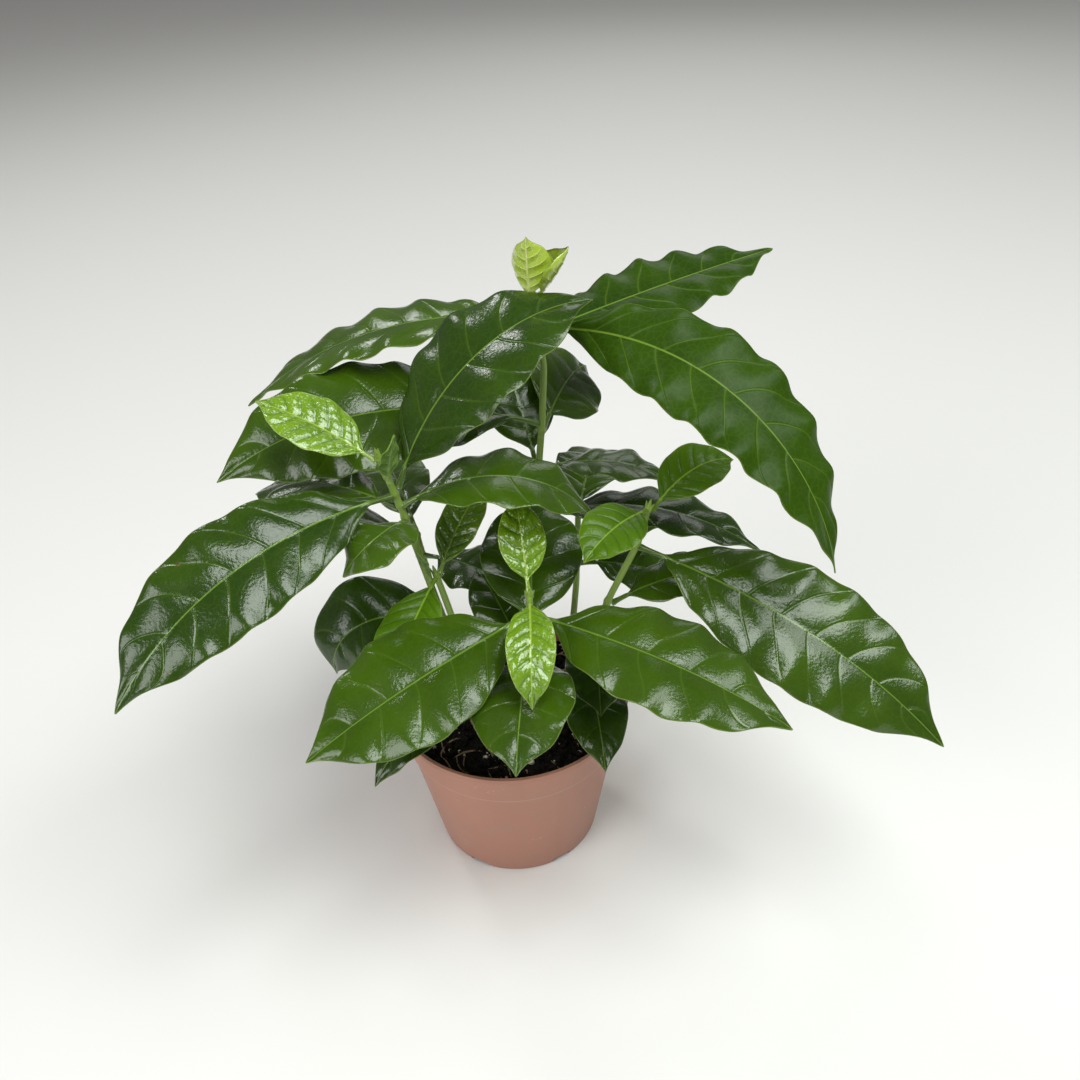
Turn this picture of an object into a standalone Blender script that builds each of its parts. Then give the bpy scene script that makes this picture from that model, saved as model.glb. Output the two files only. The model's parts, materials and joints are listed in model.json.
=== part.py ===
"""Potted coffee plant: several young plants, each with opposite pairs of leaves, in one plastic nursery pot.

Frame: +Z up, +Y away from the viewer and +X to the viewer's right. The origin is the centre of the pot's
flat underside. Lengths are metres. The planting tables alone are in whole millimetres and degrees, and are
turned into metres where they are read.
"""

import math
import random
from typing import NamedTuple

import bmesh
import bpy
import numpy as np
from mathutils import Vector

MM = 0.001
GAP = 0.3 * MM

# Pot
POT_HEIGHT = 90 * MM
RIM_RADIUS = 60 * MM
BASE_RADIUS = 43 * MM
WALL = 1.2 * MM
FLOOR = 1.6 * MM
LIP_HEIGHT = 3.0 * MM
LIP_REACH = 1.2 * MM
LIP_ROUND = 0.6 * MM
COLLAR_HEIGHT = 20 * MM
COLLAR_STEP = 1.0 * MM
BASE_ROUND = 0.8 * MM
POT_SIDES = 40
NOTCH_COUNT = 6
NOTCH_WIDTH = 10 * MM
NOTCH_HEIGHT = 3.0 * MM
NOTCH_DEPTH = 6 * MM
NOTCH_FIRST_ANGLE = -62.0

# Soil
SOIL_TOP = 79 * MM
SOIL_MOUND = 1.5 * MM
CRUMB_COUNT = 18
CRUMB_RADIUS = (1.4 * MM, 2.8 * MM)
CRUMB_SINK = 0.35
CRUMB_SEED = 5
HOLE_SIDES = 12

# Stems
STEM_RADIUS = 2.0 * MM
NODE_SPACING = 6 * MM
STEM_DEPTH = 26 * MM
BUD_RADIUS = 1.1 * MM
BUD_LENGTH = 5 * MM
BUD_SINK = 2 * MM
STIPULE_RADIUS = 0.9 * MM
STIPULE_LENGTH = 4 * MM
STIPULE_LEAN = 0.35

# Leaves
LEAF_THICKNESS = 0.9 * MM
KEEL = 0.6 * MM
OUTLINE_SKEW = 0.93
OUTLINE_FULLNESS = 0.78
TIP_START = 0.80
TIP_NARROWING = 0.60
BASE_END = 0.16
BASE_NARROWING = 0.45
DROOP_GROWTH = 1.3
WAVE_GROWTH = 1.6
RIGHT_SIDE_PHASE = 0.37
PHASE_STEP = 0.37
BLADE_START = 0.03
BLADE_END = 0.995
MIDRIB_STEPS = 160
STALK_PLACES = (0.0, 0.5, 0.95)
STALK_FLARE = (1.15, 1.0, 1.05)


class Kind(NamedTuple):
    """How one kind of leaf is folded, curled and waved."""

    fold: float
    curl: float
    wave: float
    wave_length: float
    stalk_radius: float
    columns: int


MATURE = Kind(fold=14, curl=30, wave=2.2 * MM, wave_length=22, stalk_radius=1.2 * MM, columns=5)
YOUNG = Kind(fold=18, curl=24, wave=0.6 * MM, wave_length=14, stalk_radius=0.9 * MM, columns=3)
ROLLED = Kind(fold=5, curl=-65, wave=0.3 * MM, wave_length=14, stalk_radius=0.9 * MM, columns=5)


class Leaf(NamedTuple):
    """One leaf: where it leaves its stem, and how it bends, in millimetres and degrees.

    height is the node's height above the pot's underside. heading is the compass direction that the leaf
    leaves in, counted from +X toward +Y, and turn is how far it swings by the tip. rise is the slope at the
    stem and droop how far that slope falls by the tip. roll lifts the left side and twist adds to it by the
    tip. length and width are the blade's, and stalk is the length of the bare stalk.
    """

    name: str
    stem: str
    height: float
    heading: float
    rise: float
    droop: float
    turn: float
    roll: float
    twist: float
    length: float
    width: float
    stalk: float


# Each stem's course from the soil up, as x, y, z in millimetres
STEMS = {
    "tall": ((8, 28, 78), (16, 35, 150), (24, 40, 222), (26, 42, 250), (22, 45, 284)),
    "left": ((-16, 0, 78), (-28, -6, 140), (-41, -10, 212), (-48, -10, 241)),
    "left_small": ((-14, -14, 78), (-20, -15, 130), (-27, -13, 165), (-30, -12, 179)),
    "front": ((8, -30, 78), (10, -36, 130), (11, -40, 184)),
    "right": ((24, -4, 78), (50, -10, 156), (62, -10, 184), (67, -10, 205)),
    "back": ((32, 24, 78), (38, 34, 130), (40, 38, 172)),
    "back_left": ((-26, 30, 78), (-36, 42, 120), (-42, 48, 162)),
}

# Leaves: name, stem, height, heading, rise, droop, turn, roll, twist, length, width, stalk
MATURE_LEAVES = (
    Leaf("leaf_tall_1_right", "tall", 268, -38, 14, 90, -11, 50, -60, 175, 48, 10),
    Leaf("leaf_tall_1_left", "tall", 274, 162, -1, 41, 17, -10, 12, 142, 44, 9),
    Leaf("leaf_tall_2_back", "tall", 266, 26, 6, 5, 0, 14, -5, 127, 44, 5),
    Leaf("leaf_tall_3_left", "tall", 222, 188, 24, 58, 6, -8, -33, 144, 60, 10),
    Leaf("leaf_tall_3_right", "tall", 218, 66, 20, 45, 0, 40, 0, 60, 44, 8),
    Leaf("leaf_tall_5_back", "tall", 198, 106, 55, 50, 0, 0, 0, 62, 38, 7),
    Leaf("leaf_tall_4_right", "tall", 199, -16, 20, 46, -4, -12, 0, 55, 40, 7),
    Leaf("leaf_tall_4_left", "tall", 200, 178, 5, 42, 0, 0, 0, 40, 24, 6),
    Leaf("leaf_tall_6_right", "tall", 173, -20, 24, 52, -12, -5, 0, 106, 38, 8),
    Leaf("leaf_left_1_right", "left", 224, 22, 66, 76, 1, 10, 1, 116, 58, 7),
    Leaf("leaf_left_1_left", "left", 221, 213, 8, 58, 5, -26, -3, 137, 49, 8),
    Leaf("leaf_left_2_right", "left", 215, -3, 32, 92, -3, 0, 3, 88, 42, 4),
    Leaf("leaf_left_2_left", "left", 214, 150, 11, 50, -2, 0, 0, 78, 36, 7),
    Leaf("leaf_left_4_left", "left", 134, 150, 20, 50, 4, -8, -6, 44, 34, 6),
    Leaf("leaf_left_5_left", "left", 140, 186, 48, 150, 10, -20, -14, 68, 48, 6),
    Leaf("leaf_left_3_left", "left", 208, 262, 36, 96, -64, 4, 0, 42, 34, 5),
    Leaf("leaf_front_1_left", "front", 173, 211, -5, 24, -9, -15, 0, 104, 57, 7),
    Leaf("leaf_front_1_right", "front", 173, -35, 4, 36, 12, 9, -7, 113, 53, 7),
    Leaf("leaf_front_2_back", "front", 158, 83, 40, 45, 5, 0, 0, 70, 48, 6),
    Leaf("leaf_front_2_front", "front", 152, -99, 22, 62, 0, 6, 4, 65, 45, 6),
    Leaf("leaf_front_3_back", "front", 136, 112, 34, 36, 0, 0, 0, 55, 28, 6),
    Leaf("leaf_left_small_1_left", "left_small", 104, 226, 30, 80, 0, 0, 0, 66, 26, 6),
    Leaf("leaf_right_1_right", "right", 184, -30, -10, 32, -4, 16, 21, 151, 58, 8),
    Leaf("leaf_right_2_right", "right", 152, 6, 26, 50, 0, 3, 0, 64, 31, 6),
    Leaf("leaf_right_3_front", "right", 136, -97, 22, 62, 5, 0, 0, 50, 30, 6),
    Leaf("leaf_right_4_front", "right", 112, -84, 28, 85, -4, -2, 0, 62, 30, 6),
    Leaf("leaf_right_4_right", "right", 118, -22, 10, 75, -2, 0, 0, 46, 28, 6),
    Leaf("leaf_back_1_back", "back", 170, 75, 15, 60, 0, 0, 0, 80, 38, 7),
    Leaf("leaf_back_2_right", "back", 152, 20, 25, 70, 0, 0, 0, 70, 34, 7),
    Leaf("leaf_back_3_right", "back", 142, -12, 6, 40, 0, 0, 0, 50, 38, 7),
    Leaf("leaf_back_left_1_back", "back_left", 160, 105, 18, 60, 0, 0, 0, 85, 38, 7),
    Leaf("leaf_back_left_1_left", "back_left", 158, 180, 32, 62, 0, 0, 0, 82, 38, 7),
    Leaf("leaf_back_left_2_right", "back_left", 146, -34, 12, 34, 0, 0, 0, 46, 36, 7),
)

YOUNG_LEAVES = (
    Leaf("young_left_left", "left", 239, 160, 33, 22, 0, -11, -6, 51, 29, 4),
    Leaf("young_left_right", "left", 230, 285, 72, 0, 60, 0, 0, 24, 11, 2),
    Leaf("young_left_small_right", "left_small", 177, 53, 49, 40, 3, 3, 3, 45, 21, 3),
    Leaf("young_left_small_tip", "left_small", 178, 215, 78, 10, 0, 0, 0, 15, 9, 2),
    Leaf("young_left_small_left", "left_small", 176, 245, -12, 30, 0, -4, 0, 60, 28, 3),
    Leaf("young_front_back", "front", 184, 94, 55, 29, 2, 0, 0, 38, 21, 4),
    Leaf("young_front_front", "front", 183, -92, 12, 90, -4, 0, 0, 51, 21, 3),
    Leaf("young_right_left", "right", 203, 224, 16, 48, 0, -12, -3, 42, 27, 2),
    Leaf("young_right_right", "right", 203, 24, 48, 77, 1, 11, 7, 44, 27, 4),
)

ROLLED_LEAVES = (
    Leaf("young_tall_front", "tall", 283, 250, 84, -6, 0, 0, 0, 27, 24, 1),
    Leaf("young_tall_back", "tall", 283, 0, 44, -30, 0, 0, 0, 24, 26, 1),
)

ALL_LEAVES = MATURE_LEAVES + YOUNG_LEAVES + ROLLED_LEAVES

LEAF_GREEN = (0.030, 0.090, 0.012)
YOUNG_GREEN = (0.160, 0.300, 0.020)
STEM_GREEN = (0.150, 0.260, 0.050)
TERRACOTTA = (0.380, 0.180, 0.125)
PEAT = (0.018, 0.012, 0.009)


def new_material(name, colour, roughness, metallic=0.0):
    """A material with one Principled shader of the given colour."""
    material = bpy.data.materials.new(name)
    material.use_nodes = True
    shader = material.node_tree.nodes["Principled BSDF"]
    shader.inputs["Base Color"].default_value = (*colour, 1.0)
    shader.inputs["Roughness"].default_value = roughness
    shader.inputs["Metallic"].default_value = metallic
    return material


def add_object(name, mesh, collection, material=None):
    """Put a mesh in the scene under a name."""
    thing = bpy.data.objects.new(name, mesh)
    collection.objects.link(thing)
    if material:
        mesh.materials.append(material)
    return thing


def apply_modifiers(thing):
    """Replace an object's mesh by its evaluated one."""
    depsgraph = bpy.context.evaluated_depsgraph_get()
    mesh = bpy.data.meshes.new_from_object(thing.evaluated_get(depsgraph))
    thing.modifiers.clear()
    thing.data = mesh


def turned(name, profile, collection, material=None, sides=POT_SIDES):
    """A body turned round Z from a profile of (radius, height) that runs down its outer side."""
    mesh = bpy.data.meshes.new(name)
    points = [(radius, 0.0, height) for radius, height in profile]
    edges = [(i, i + 1) for i in range(len(points) - 1)]
    mesh.from_pydata(points, edges, [])
    thing = add_object(name, mesh, collection, material)
    screw = thing.modifiers.new("turn", "SCREW")
    screw.axis = "Z"
    screw.steps = sides
    screw.render_steps = sides
    screw.use_merge_vertices = True
    screw.merge_threshold = 0.00001
    apply_modifiers(thing)
    thing.data.shade_smooth()
    thing.data.set_sharp_from_angle(angle=math.radians(30))
    return thing


def combine(thing, tools, operation):
    """Unite a body with a collection of closed bodies, or cut them from it, then remove them."""
    boolean = thing.modifiers.new(operation.lower(), "BOOLEAN")
    boolean.operation = operation
    boolean.operand_type = "COLLECTION"
    boolean.collection = tools
    apply_modifiers(thing)
    for tool in list(tools.objects):
        bpy.data.objects.remove(tool, do_unlink=True)


def hide_tool(thing):
    """Mark an object as a cutter or a body to be joined."""
    thing.hide_render = True
    thing.display_type = "WIRE"


def add_cone(name, collection, base, direction, radius, length, sides, end_radius=0.0002):
    """A closed cone that starts at base and points along direction."""
    mesh = bpy.data.meshes.new(name)
    body = bmesh.new()
    bmesh.ops.create_cone(
        body, cap_ends=True, segments=sides, radius1=radius, radius2=end_radius, depth=length
    )
    body.to_mesh(mesh)
    body.free()
    thing = add_object(name, mesh, collection)
    direction = Vector(direction).normalized()
    thing.rotation_mode = "QUATERNION"
    thing.rotation_quaternion = direction.to_track_quat("Z", "Y")
    thing.location = Vector(base) + direction * length / 2
    hide_tool(thing)
    return thing


def wall_radius(height):
    """Outer radius of the tapered wall below the collar, at a height."""
    collar_top = POT_HEIGHT - LIP_HEIGHT
    top_radius = RIM_RADIUS - LIP_REACH - COLLAR_STEP
    return BASE_RADIUS + (top_radius - BASE_RADIUS) * height / collar_top


def inner_radius(height):
    """Radius of the pot's hollow at a height, wider inside the collar."""
    widening = COLLAR_STEP if height > POT_HEIGHT - COLLAR_HEIGHT else 0.0
    return wall_radius(height) + widening - WALL


def pot_profile():
    """The pot's section from the middle of its floor, up inside, over the lip and down outside."""
    collar_foot = POT_HEIGHT - COLLAR_HEIGHT
    lip_foot = POT_HEIGHT - LIP_HEIGHT
    mouth = POT_HEIGHT - LIP_ROUND
    return [
        (0.0, FLOOR),
        (inner_radius(FLOOR), FLOOR),
        (inner_radius(collar_foot), collar_foot),
        (inner_radius(collar_foot + COLLAR_STEP), collar_foot + COLLAR_STEP),
        (inner_radius(mouth), mouth),
        (inner_radius(mouth) + LIP_ROUND, POT_HEIGHT),
        (RIM_RADIUS - LIP_ROUND, POT_HEIGHT),
        (RIM_RADIUS, mouth),
        (RIM_RADIUS, lip_foot),
        (wall_radius(lip_foot) + COLLAR_STEP, lip_foot - LIP_ROUND),
        (wall_radius(collar_foot) + COLLAR_STEP, collar_foot),
        (wall_radius(collar_foot), collar_foot),
        (wall_radius(BASE_ROUND), BASE_ROUND),
        (BASE_RADIUS - BASE_ROUND, 0.0),
        (0.0, 0.0),
    ]


def add_pot(parts, cutters):
    """The nursery pot with its ring of drainage notches along the bottom edge."""
    pot = turned("pot", pot_profile(), parts, new_material("terracotta plastic", TERRACOTTA, 0.5))
    for i in range(NOTCH_COUNT):
        angle = math.radians(NOTCH_FIRST_ANGLE + i * 360.0 / NOTCH_COUNT)
        bpy.ops.mesh.primitive_cube_add(size=1.0)
        notch = bpy.context.object
        notch.name = f"notch_{i}"
        notch.dimensions = (NOTCH_DEPTH, NOTCH_WIDTH, 2 * NOTCH_HEIGHT)
        notch.rotation_euler = (0.0, 0.0, angle)
        notch.location = (BASE_RADIUS * math.cos(angle), BASE_RADIUS * math.sin(angle), 0.0)
        for home in list(notch.users_collection):
            home.objects.unlink(notch)
        cutters.objects.link(notch)
        hide_tool(notch)
    combine(pot, cutters, "DIFFERENCE")
    return pot


def soil_profile():
    """The soil's section: a low mound on top, then down inside the pot's wall to its floor."""
    collar_foot = POT_HEIGHT - COLLAR_HEIGHT
    shoulder = SOIL_TOP - SOIL_MOUND
    step = collar_foot + COLLAR_STEP + GAP
    foot = FLOOR + GAP
    return [
        (0.0, SOIL_TOP + SOIL_MOUND),
        (inner_radius(shoulder) * 0.45, SOIL_TOP + SOIL_MOUND * 0.6),
        (inner_radius(shoulder) * 0.9, SOIL_TOP),
        (inner_radius(shoulder) - GAP, shoulder),
        (inner_radius(step) - GAP, step),
        (inner_radius(collar_foot) - GAP, collar_foot),
        (inner_radius(foot) - GAP, foot),
        (0.0, foot),
    ]


def stem_points(stem):
    """A stem's course in metres, with its straight root end in the soil first."""
    course = [Vector(point) * MM for point in STEMS[stem]]
    down = (course[0] - course[1]).normalized()
    return [course[0] + down * STEM_DEPTH] + course


def stem_at(stem, height):
    """The point on a stem's axis at a height in metres, or the stem's end where it is higher."""
    course = np.array(stem_points(stem))
    return Vector([np.interp(height, course[:, 2], course[:, axis]) for axis in range(3)])


def add_soil(parts, cutters):
    """The peat in the pot, with crumbs on top and a plain hole for each stem."""
    soil = turned("soil", soil_profile(), parts, new_material("peat", PEAT, 0.95))
    dice = random.Random(CRUMB_SEED)
    reach = inner_radius(SOIL_TOP) - 2 * CRUMB_RADIUS[1]
    stem_feet = [stem_at(stem, SOIL_TOP) for stem in STEMS]
    crumbs = 0
    while crumbs < CRUMB_COUNT:
        radius = dice.uniform(*CRUMB_RADIUS)
        away = reach * math.sqrt(dice.random())
        angle = dice.uniform(0.0, 2 * math.pi)
        spot = Vector((away * math.cos(angle), away * math.sin(angle), SOIL_TOP))
        if min((spot - foot).length for foot in stem_feet) < radius + 3 * STEM_RADIUS:
            continue
        mesh = bpy.data.meshes.new("crumb")
        body = bmesh.new()
        bmesh.ops.create_icosphere(body, subdivisions=1, radius=radius)
        body.to_mesh(mesh)
        body.free()
        crumb = add_object("crumb", mesh, cutters)
        crumb.scale = (1.0, dice.uniform(0.6, 1.0), dice.uniform(0.5, 0.8))
        crumb.rotation_euler = (dice.uniform(-0.4, 0.4), dice.uniform(-0.4, 0.4), angle)
        crumb.location = spot + Vector((0.0, 0.0, radius * CRUMB_SINK))
        hide_tool(crumb)
        crumbs += 1
    combine(soil, cutters, "UNION")
    hole_radius = (STEM_RADIUS + GAP) / math.cos(math.pi / HOLE_SIDES)
    for stem in STEMS:
        root, top = stem_points(stem)[:2]
        way = (top - root).normalized()
        length = STEM_DEPTH + 4 * GAP + 4 * STEM_RADIUS
        foot = root - way * GAP
        add_cone(f"hole_{stem}", cutters, foot, way, hole_radius, length, HOLE_SIDES, hole_radius)
    combine(soil, cutters, "DIFFERENCE")
    return soil


def node_heights(stem):
    """The heights of a stem's nodes in metres, low to high, leaves of a pair counted once."""
    heights = sorted(leaf.height * MM for leaf in ALL_LEAVES if leaf.stem == stem)
    nodes = []
    for height in heights:
        if not nodes or height - nodes[-1] > NODE_SPACING:
            nodes.append(height)
    return nodes


def stem_tube(name, stem, parts, material):
    """The bare stem: a tube along its course."""
    course = stem_points(stem)
    curve = bpy.data.curves.new(name, "CURVE")
    curve.dimensions = "3D"
    curve.bevel_depth = STEM_RADIUS
    curve.bevel_resolution = 2
    curve.use_fill_caps = True
    spline = curve.splines.new("POLY")
    spline.points.add(len(course) - 1)
    for point, place in zip(spline.points, course):
        point.co = (*place, 1.0)
    guide = bpy.data.objects.new(f"{name}_course", curve)
    parts.objects.link(guide)
    depsgraph = bpy.context.evaluated_depsgraph_get()
    mesh = bpy.data.meshes.new_from_object(guide.evaluated_get(depsgraph))
    body = bmesh.new()
    body.from_mesh(mesh)
    bmesh.ops.remove_doubles(body, verts=body.verts, dist=0.00001)
    body.to_mesh(mesh)
    body.free()
    tube = add_object(name, mesh, parts, material)
    tube.matrix_world = guide.matrix_world
    bpy.data.objects.remove(guide, do_unlink=True)
    return tube


def add_stem(stem, parts, tools, material):
    """A stem with its end bud, and with two stipules at each of its top two nodes."""
    tube = stem_tube(f"stem_{stem}", stem, parts, material)
    course = stem_points(stem)
    upward = (course[-1] - course[-2]).normalized()
    bud_foot = course[-1] - upward * BUD_SINK
    add_cone("end_bud", tools, bud_foot, upward, BUD_RADIUS, BUD_LENGTH, 6)
    for height in node_heights(stem)[-2:]:
        pair = [leaf for leaf in ALL_LEAVES if leaf.stem == stem]
        nearest = min(pair, key=lambda leaf: abs(leaf.height * MM - height))
        for side in (90.0, -90.0):
            angle = math.radians(nearest.heading + side)
            out = Vector((math.cos(angle), math.sin(angle), 0.0))
            foot = stem_at(stem, height) + out * STEM_RADIUS * 0.5
            way = out * STIPULE_LEAN + upward
            add_cone("stipule", tools, foot, way, STIPULE_RADIUS, STIPULE_LENGTH, 4)
    combine(tube, tools, "UNION")
    tube.data.shade_smooth()
    tube.data.set_sharp_from_angle(angle=math.radians(40))
    return tube


def smooth_step(share):
    """A share clipped to 0..1, with a slope of nothing at both ends."""
    share = np.clip(share, 0, 1)
    return share**2 * (3 - 2 * share)


def blade_half_width(leaf, along):
    """Half the blade's width at shares of its length, drawn in at the base and into a drip tip."""
    full = np.sin(np.pi * along**OUTLINE_SKEW) ** OUTLINE_FULLNESS
    tip = 1 - TIP_NARROWING * smooth_step((along - TIP_START) / (1 - TIP_START))
    base = 1 - BASE_NARROWING * (1 - smooth_step(along / BASE_END))
    return leaf.width * MM / 2 * full * tip * base


def midrib(leaf, kind, along):
    """The midrib's points with its forward, left and upper directions.

    along runs from 0 at the stem to 1 at the tip, over stalk and blade together.
    """
    fine = np.linspace(0, 1, MIDRIB_STEPS + 1)
    heading = np.radians(leaf.heading + leaf.turn * fine)
    slope = np.radians(leaf.rise - leaf.droop * fine**DROOP_GROWTH)
    forward = np.stack(
        [np.cos(slope) * np.cos(heading), np.cos(slope) * np.sin(heading), np.sin(slope)], axis=1
    )
    step = (leaf.length + leaf.stalk) * MM / MIDRIB_STEPS
    course = np.cumsum((forward[1:] + forward[:-1]) / 2 * step, axis=0)
    course = np.vstack([np.zeros(3), course]) + leaf_foot(leaf, kind)
    points = np.stack([np.interp(along, fine, course[:, axis]) for axis in range(3)], axis=1)
    ahead = np.stack([np.interp(along, fine, forward[:, axis]) for axis in range(3)], axis=1)
    ahead /= np.linalg.norm(ahead, axis=1)[:, None]
    turned_to = np.radians(leaf.heading + leaf.turn * along)
    level = np.stack([-np.sin(turned_to), np.cos(turned_to), np.zeros_like(along)], axis=1)
    above = np.cross(ahead, level)
    roll = np.radians(leaf.roll + leaf.twist * along)[:, None]
    left = level * np.cos(roll) + above * np.sin(roll)
    upper = above * np.cos(roll) - level * np.sin(roll)
    return points, ahead, left, upper


def leaf_foot(leaf, kind):
    """Where the stalk starts: just clear of the stem, on the side that the leaf leaves from."""
    heading = math.radians(leaf.heading)
    rise = math.radians(leaf.rise)
    level = Vector((math.cos(heading), math.sin(heading), 0.0))
    leaving = level * math.cos(rise) + Vector((0.0, 0.0, math.sin(rise)))
    height = leaf.height * MM
    axis = (stem_at(leaf.stem, height) - stem_at(leaf.stem, height - NODE_SPACING)).normalized()
    outward = (level - axis * level.dot(axis)).normalized()
    end_tilt = math.sqrt(1.0 - min(1.0, leaving.dot(outward)) ** 2)
    clear = STEM_RADIUS + GAP + kind.stalk_radius * STALK_FLARE[0] * end_tilt
    return np.array(stem_at(leaf.stem, height) + outward * clear)


def blade_surface(leaf, kind, phase, along, across):
    """Points of the upper face, row by row from the right margin (-1) to the left one (+1)."""
    whole = leaf.length + leaf.stalk
    points, _, left, upper = midrib(leaf, kind, (leaf.stalk + along * leaf.length) / whole)
    half = blade_half_width(leaf, along)[:, None]
    fold = math.radians(kind.fold)
    curl = math.radians(kind.curl)
    reach = np.abs(across)
    sideways = np.sign(across) * (math.sin(fold) - np.sin(fold - curl * reach)) / curl
    lift = (np.cos(fold - curl * reach) - math.cos(fold)) / curl
    waves = max(3, round(leaf.length / kind.wave_length))
    shift = phase + np.where(across > 0, 0.0, RIGHT_SIDE_PHASE)
    beat = np.sin(2 * np.pi * (waves * along[:, None] + shift[None, :]))
    fade = np.sqrt(np.sin(np.pi * along))[:, None] * reach[None, :] ** WAVE_GROWTH
    height = half * lift[None, :] + kind.wave * fade * beat
    surface = points[:, None, :] + (half * sideways[None, :])[:, :, None] * left[:, None, :]
    return surface + height[:, :, None] * upper[:, None, :], upper


def blade_rows(leaf):
    """How many rows a blade's length takes: a longer blade shows more waves."""
    if leaf.length > 100:
        return 20
    if leaf.length > 72:
        return 13
    return 8


def leaf_rings(leaf, kind, phase):
    """Sections from stalk to tip, each with its upper points right to left and its lower ones back."""
    across = np.linspace(-1, 1, kind.columns)
    middle = kind.columns // 2
    rows = blade_rows(leaf)
    along = np.concatenate([[BLADE_START], np.arange(1, rows) / rows, [BLADE_END]])
    face, upper = blade_surface(leaf, kind, phase, along, across)
    back = face - LEAF_THICKNESS * upper[:, None, :]
    keel = KEEL * np.clip(1 - 1.05 * along, 0.15, 1)
    back[:, middle] -= keel[:, None] * upper
    blade = np.concatenate([face, back[:, ::-1]], axis=1)

    share = leaf.stalk / (leaf.length + leaf.stalk)
    points, _, left, upper = midrib(leaf, kind, share * np.array(STALK_PLACES))
    turn = np.radians(np.concatenate([
        np.linspace(160, 20, kind.columns),
        np.linspace(-20, -160, kind.columns),
    ]))
    radius = kind.stalk_radius * np.array(STALK_FLARE)
    spokes = np.cos(turn)[None, :, None] * left[:, None, :]
    spokes = spokes + np.sin(turn)[None, :, None] * upper[:, None, :]
    stalk = points[:, None, :] + radius[:, None, None] * spokes
    return np.concatenate([stalk, blade])


def split(a, b, c, d, first_way):
    """The quad a, b, c, d as two triangles, cut from a to c or from b to d."""
    if first_way:
        return [(a, b, c), (a, c, d)]
    return [(a, b, d), (b, c, d)]


def loft_faces(ring_count, columns):
    """Triangles of a leaf's rings, its upper and lower faces cut along the same diagonals."""
    around = 2 * columns
    middle = columns // 2

    def at(ring, place):
        return ring * around + place

    def under(place):
        return around - 1 - place

    faces = []
    for ring in range(ring_count - 1):
        ahead = ring + 1
        for k in range(columns - 1):
            left_half = k >= middle
            upper = (at(ring, k), at(ahead, k), at(ahead, k + 1), at(ring, k + 1))
            lower = (
                at(ring, under(k)), at(ring, under(k + 1)), at(ahead, under(k + 1)), at(ahead, under(k))
            )
            faces += split(*upper, left_half)
            faces += split(*lower, left_half)
        for here, there in ((columns - 1, columns), (around - 1, 0)):
            faces += split(at(ring, here), at(ahead, here), at(ahead, there), at(ring, there), True)
    last = ring_count - 1
    for k in range(columns - 1):
        faces += split(at(0, k), at(0, k + 1), at(0, under(k + 1)), at(0, under(k)), True)
        faces += split(at(last, k + 1), at(last, k), at(last, under(k)), at(last, under(k + 1)), True)
    return faces


def add_leaf(leaf, kind, phase, parts, material):
    """One leaf: a round stalk that spreads into a folded, curled and waved blade."""
    rings = leaf_rings(leaf, kind, phase)
    mesh = bpy.data.meshes.new(leaf.name)
    mesh.from_pydata(rings.reshape(-1, 3).tolist(), [], loft_faces(len(rings), kind.columns))
    mesh.shade_smooth()
    mesh.set_sharp_from_angle(angle=math.radians(50))
    return add_object(leaf.name, mesh, parts, material)


def add_leaves(leaves, kind, parts, material):
    """All leaves of one kind, each with its waves shifted on from the last one's."""
    for i, leaf in enumerate(leaves):
        add_leaf(leaf, kind, (PHASE_STEP * i) % 1.0, parts, material)


def main():
    """Build the whole plant."""
    for thing in list(bpy.data.objects):
        bpy.data.objects.remove(thing, do_unlink=True)
    parts = bpy.data.collections.new("potted coffee plant")
    tools = bpy.data.collections.new("cutters")
    bpy.context.scene.collection.children.link(parts)
    bpy.context.scene.collection.children.link(tools)
    add_pot(parts, tools)
    add_soil(parts, tools)
    stem_material = new_material("stem", STEM_GREEN, 0.5)
    for stem in STEMS:
        add_stem(stem, parts, tools, stem_material)
    add_leaves(MATURE_LEAVES, MATURE, parts, new_material("mature leaf", LEAF_GREEN, 0.3))
    young_material = new_material("young leaf", YOUNG_GREEN, 0.25)
    add_leaves(YOUNG_LEAVES, YOUNG, parts, young_material)
    add_leaves(ROLLED_LEAVES, ROLLED, parts, young_material)


main()
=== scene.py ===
"""Looks of the potted coffee plant: waved leaves, green stems, dark peat and a plastic nursery pot.

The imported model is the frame: +Z up, -Y toward the viewer, +X to the viewer's right, and the origin at the
centre of the pot's underside. Every piece here is worked out in that frame, in metres. Only the planting
tables are in whole millimetres and degrees, as a gardener would note them.
"""

import json
import logging
import math
from collections.abc import Iterable
from dataclasses import dataclass, field, replace
from enum import Enum
from typing import ClassVar, NamedTuple

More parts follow.
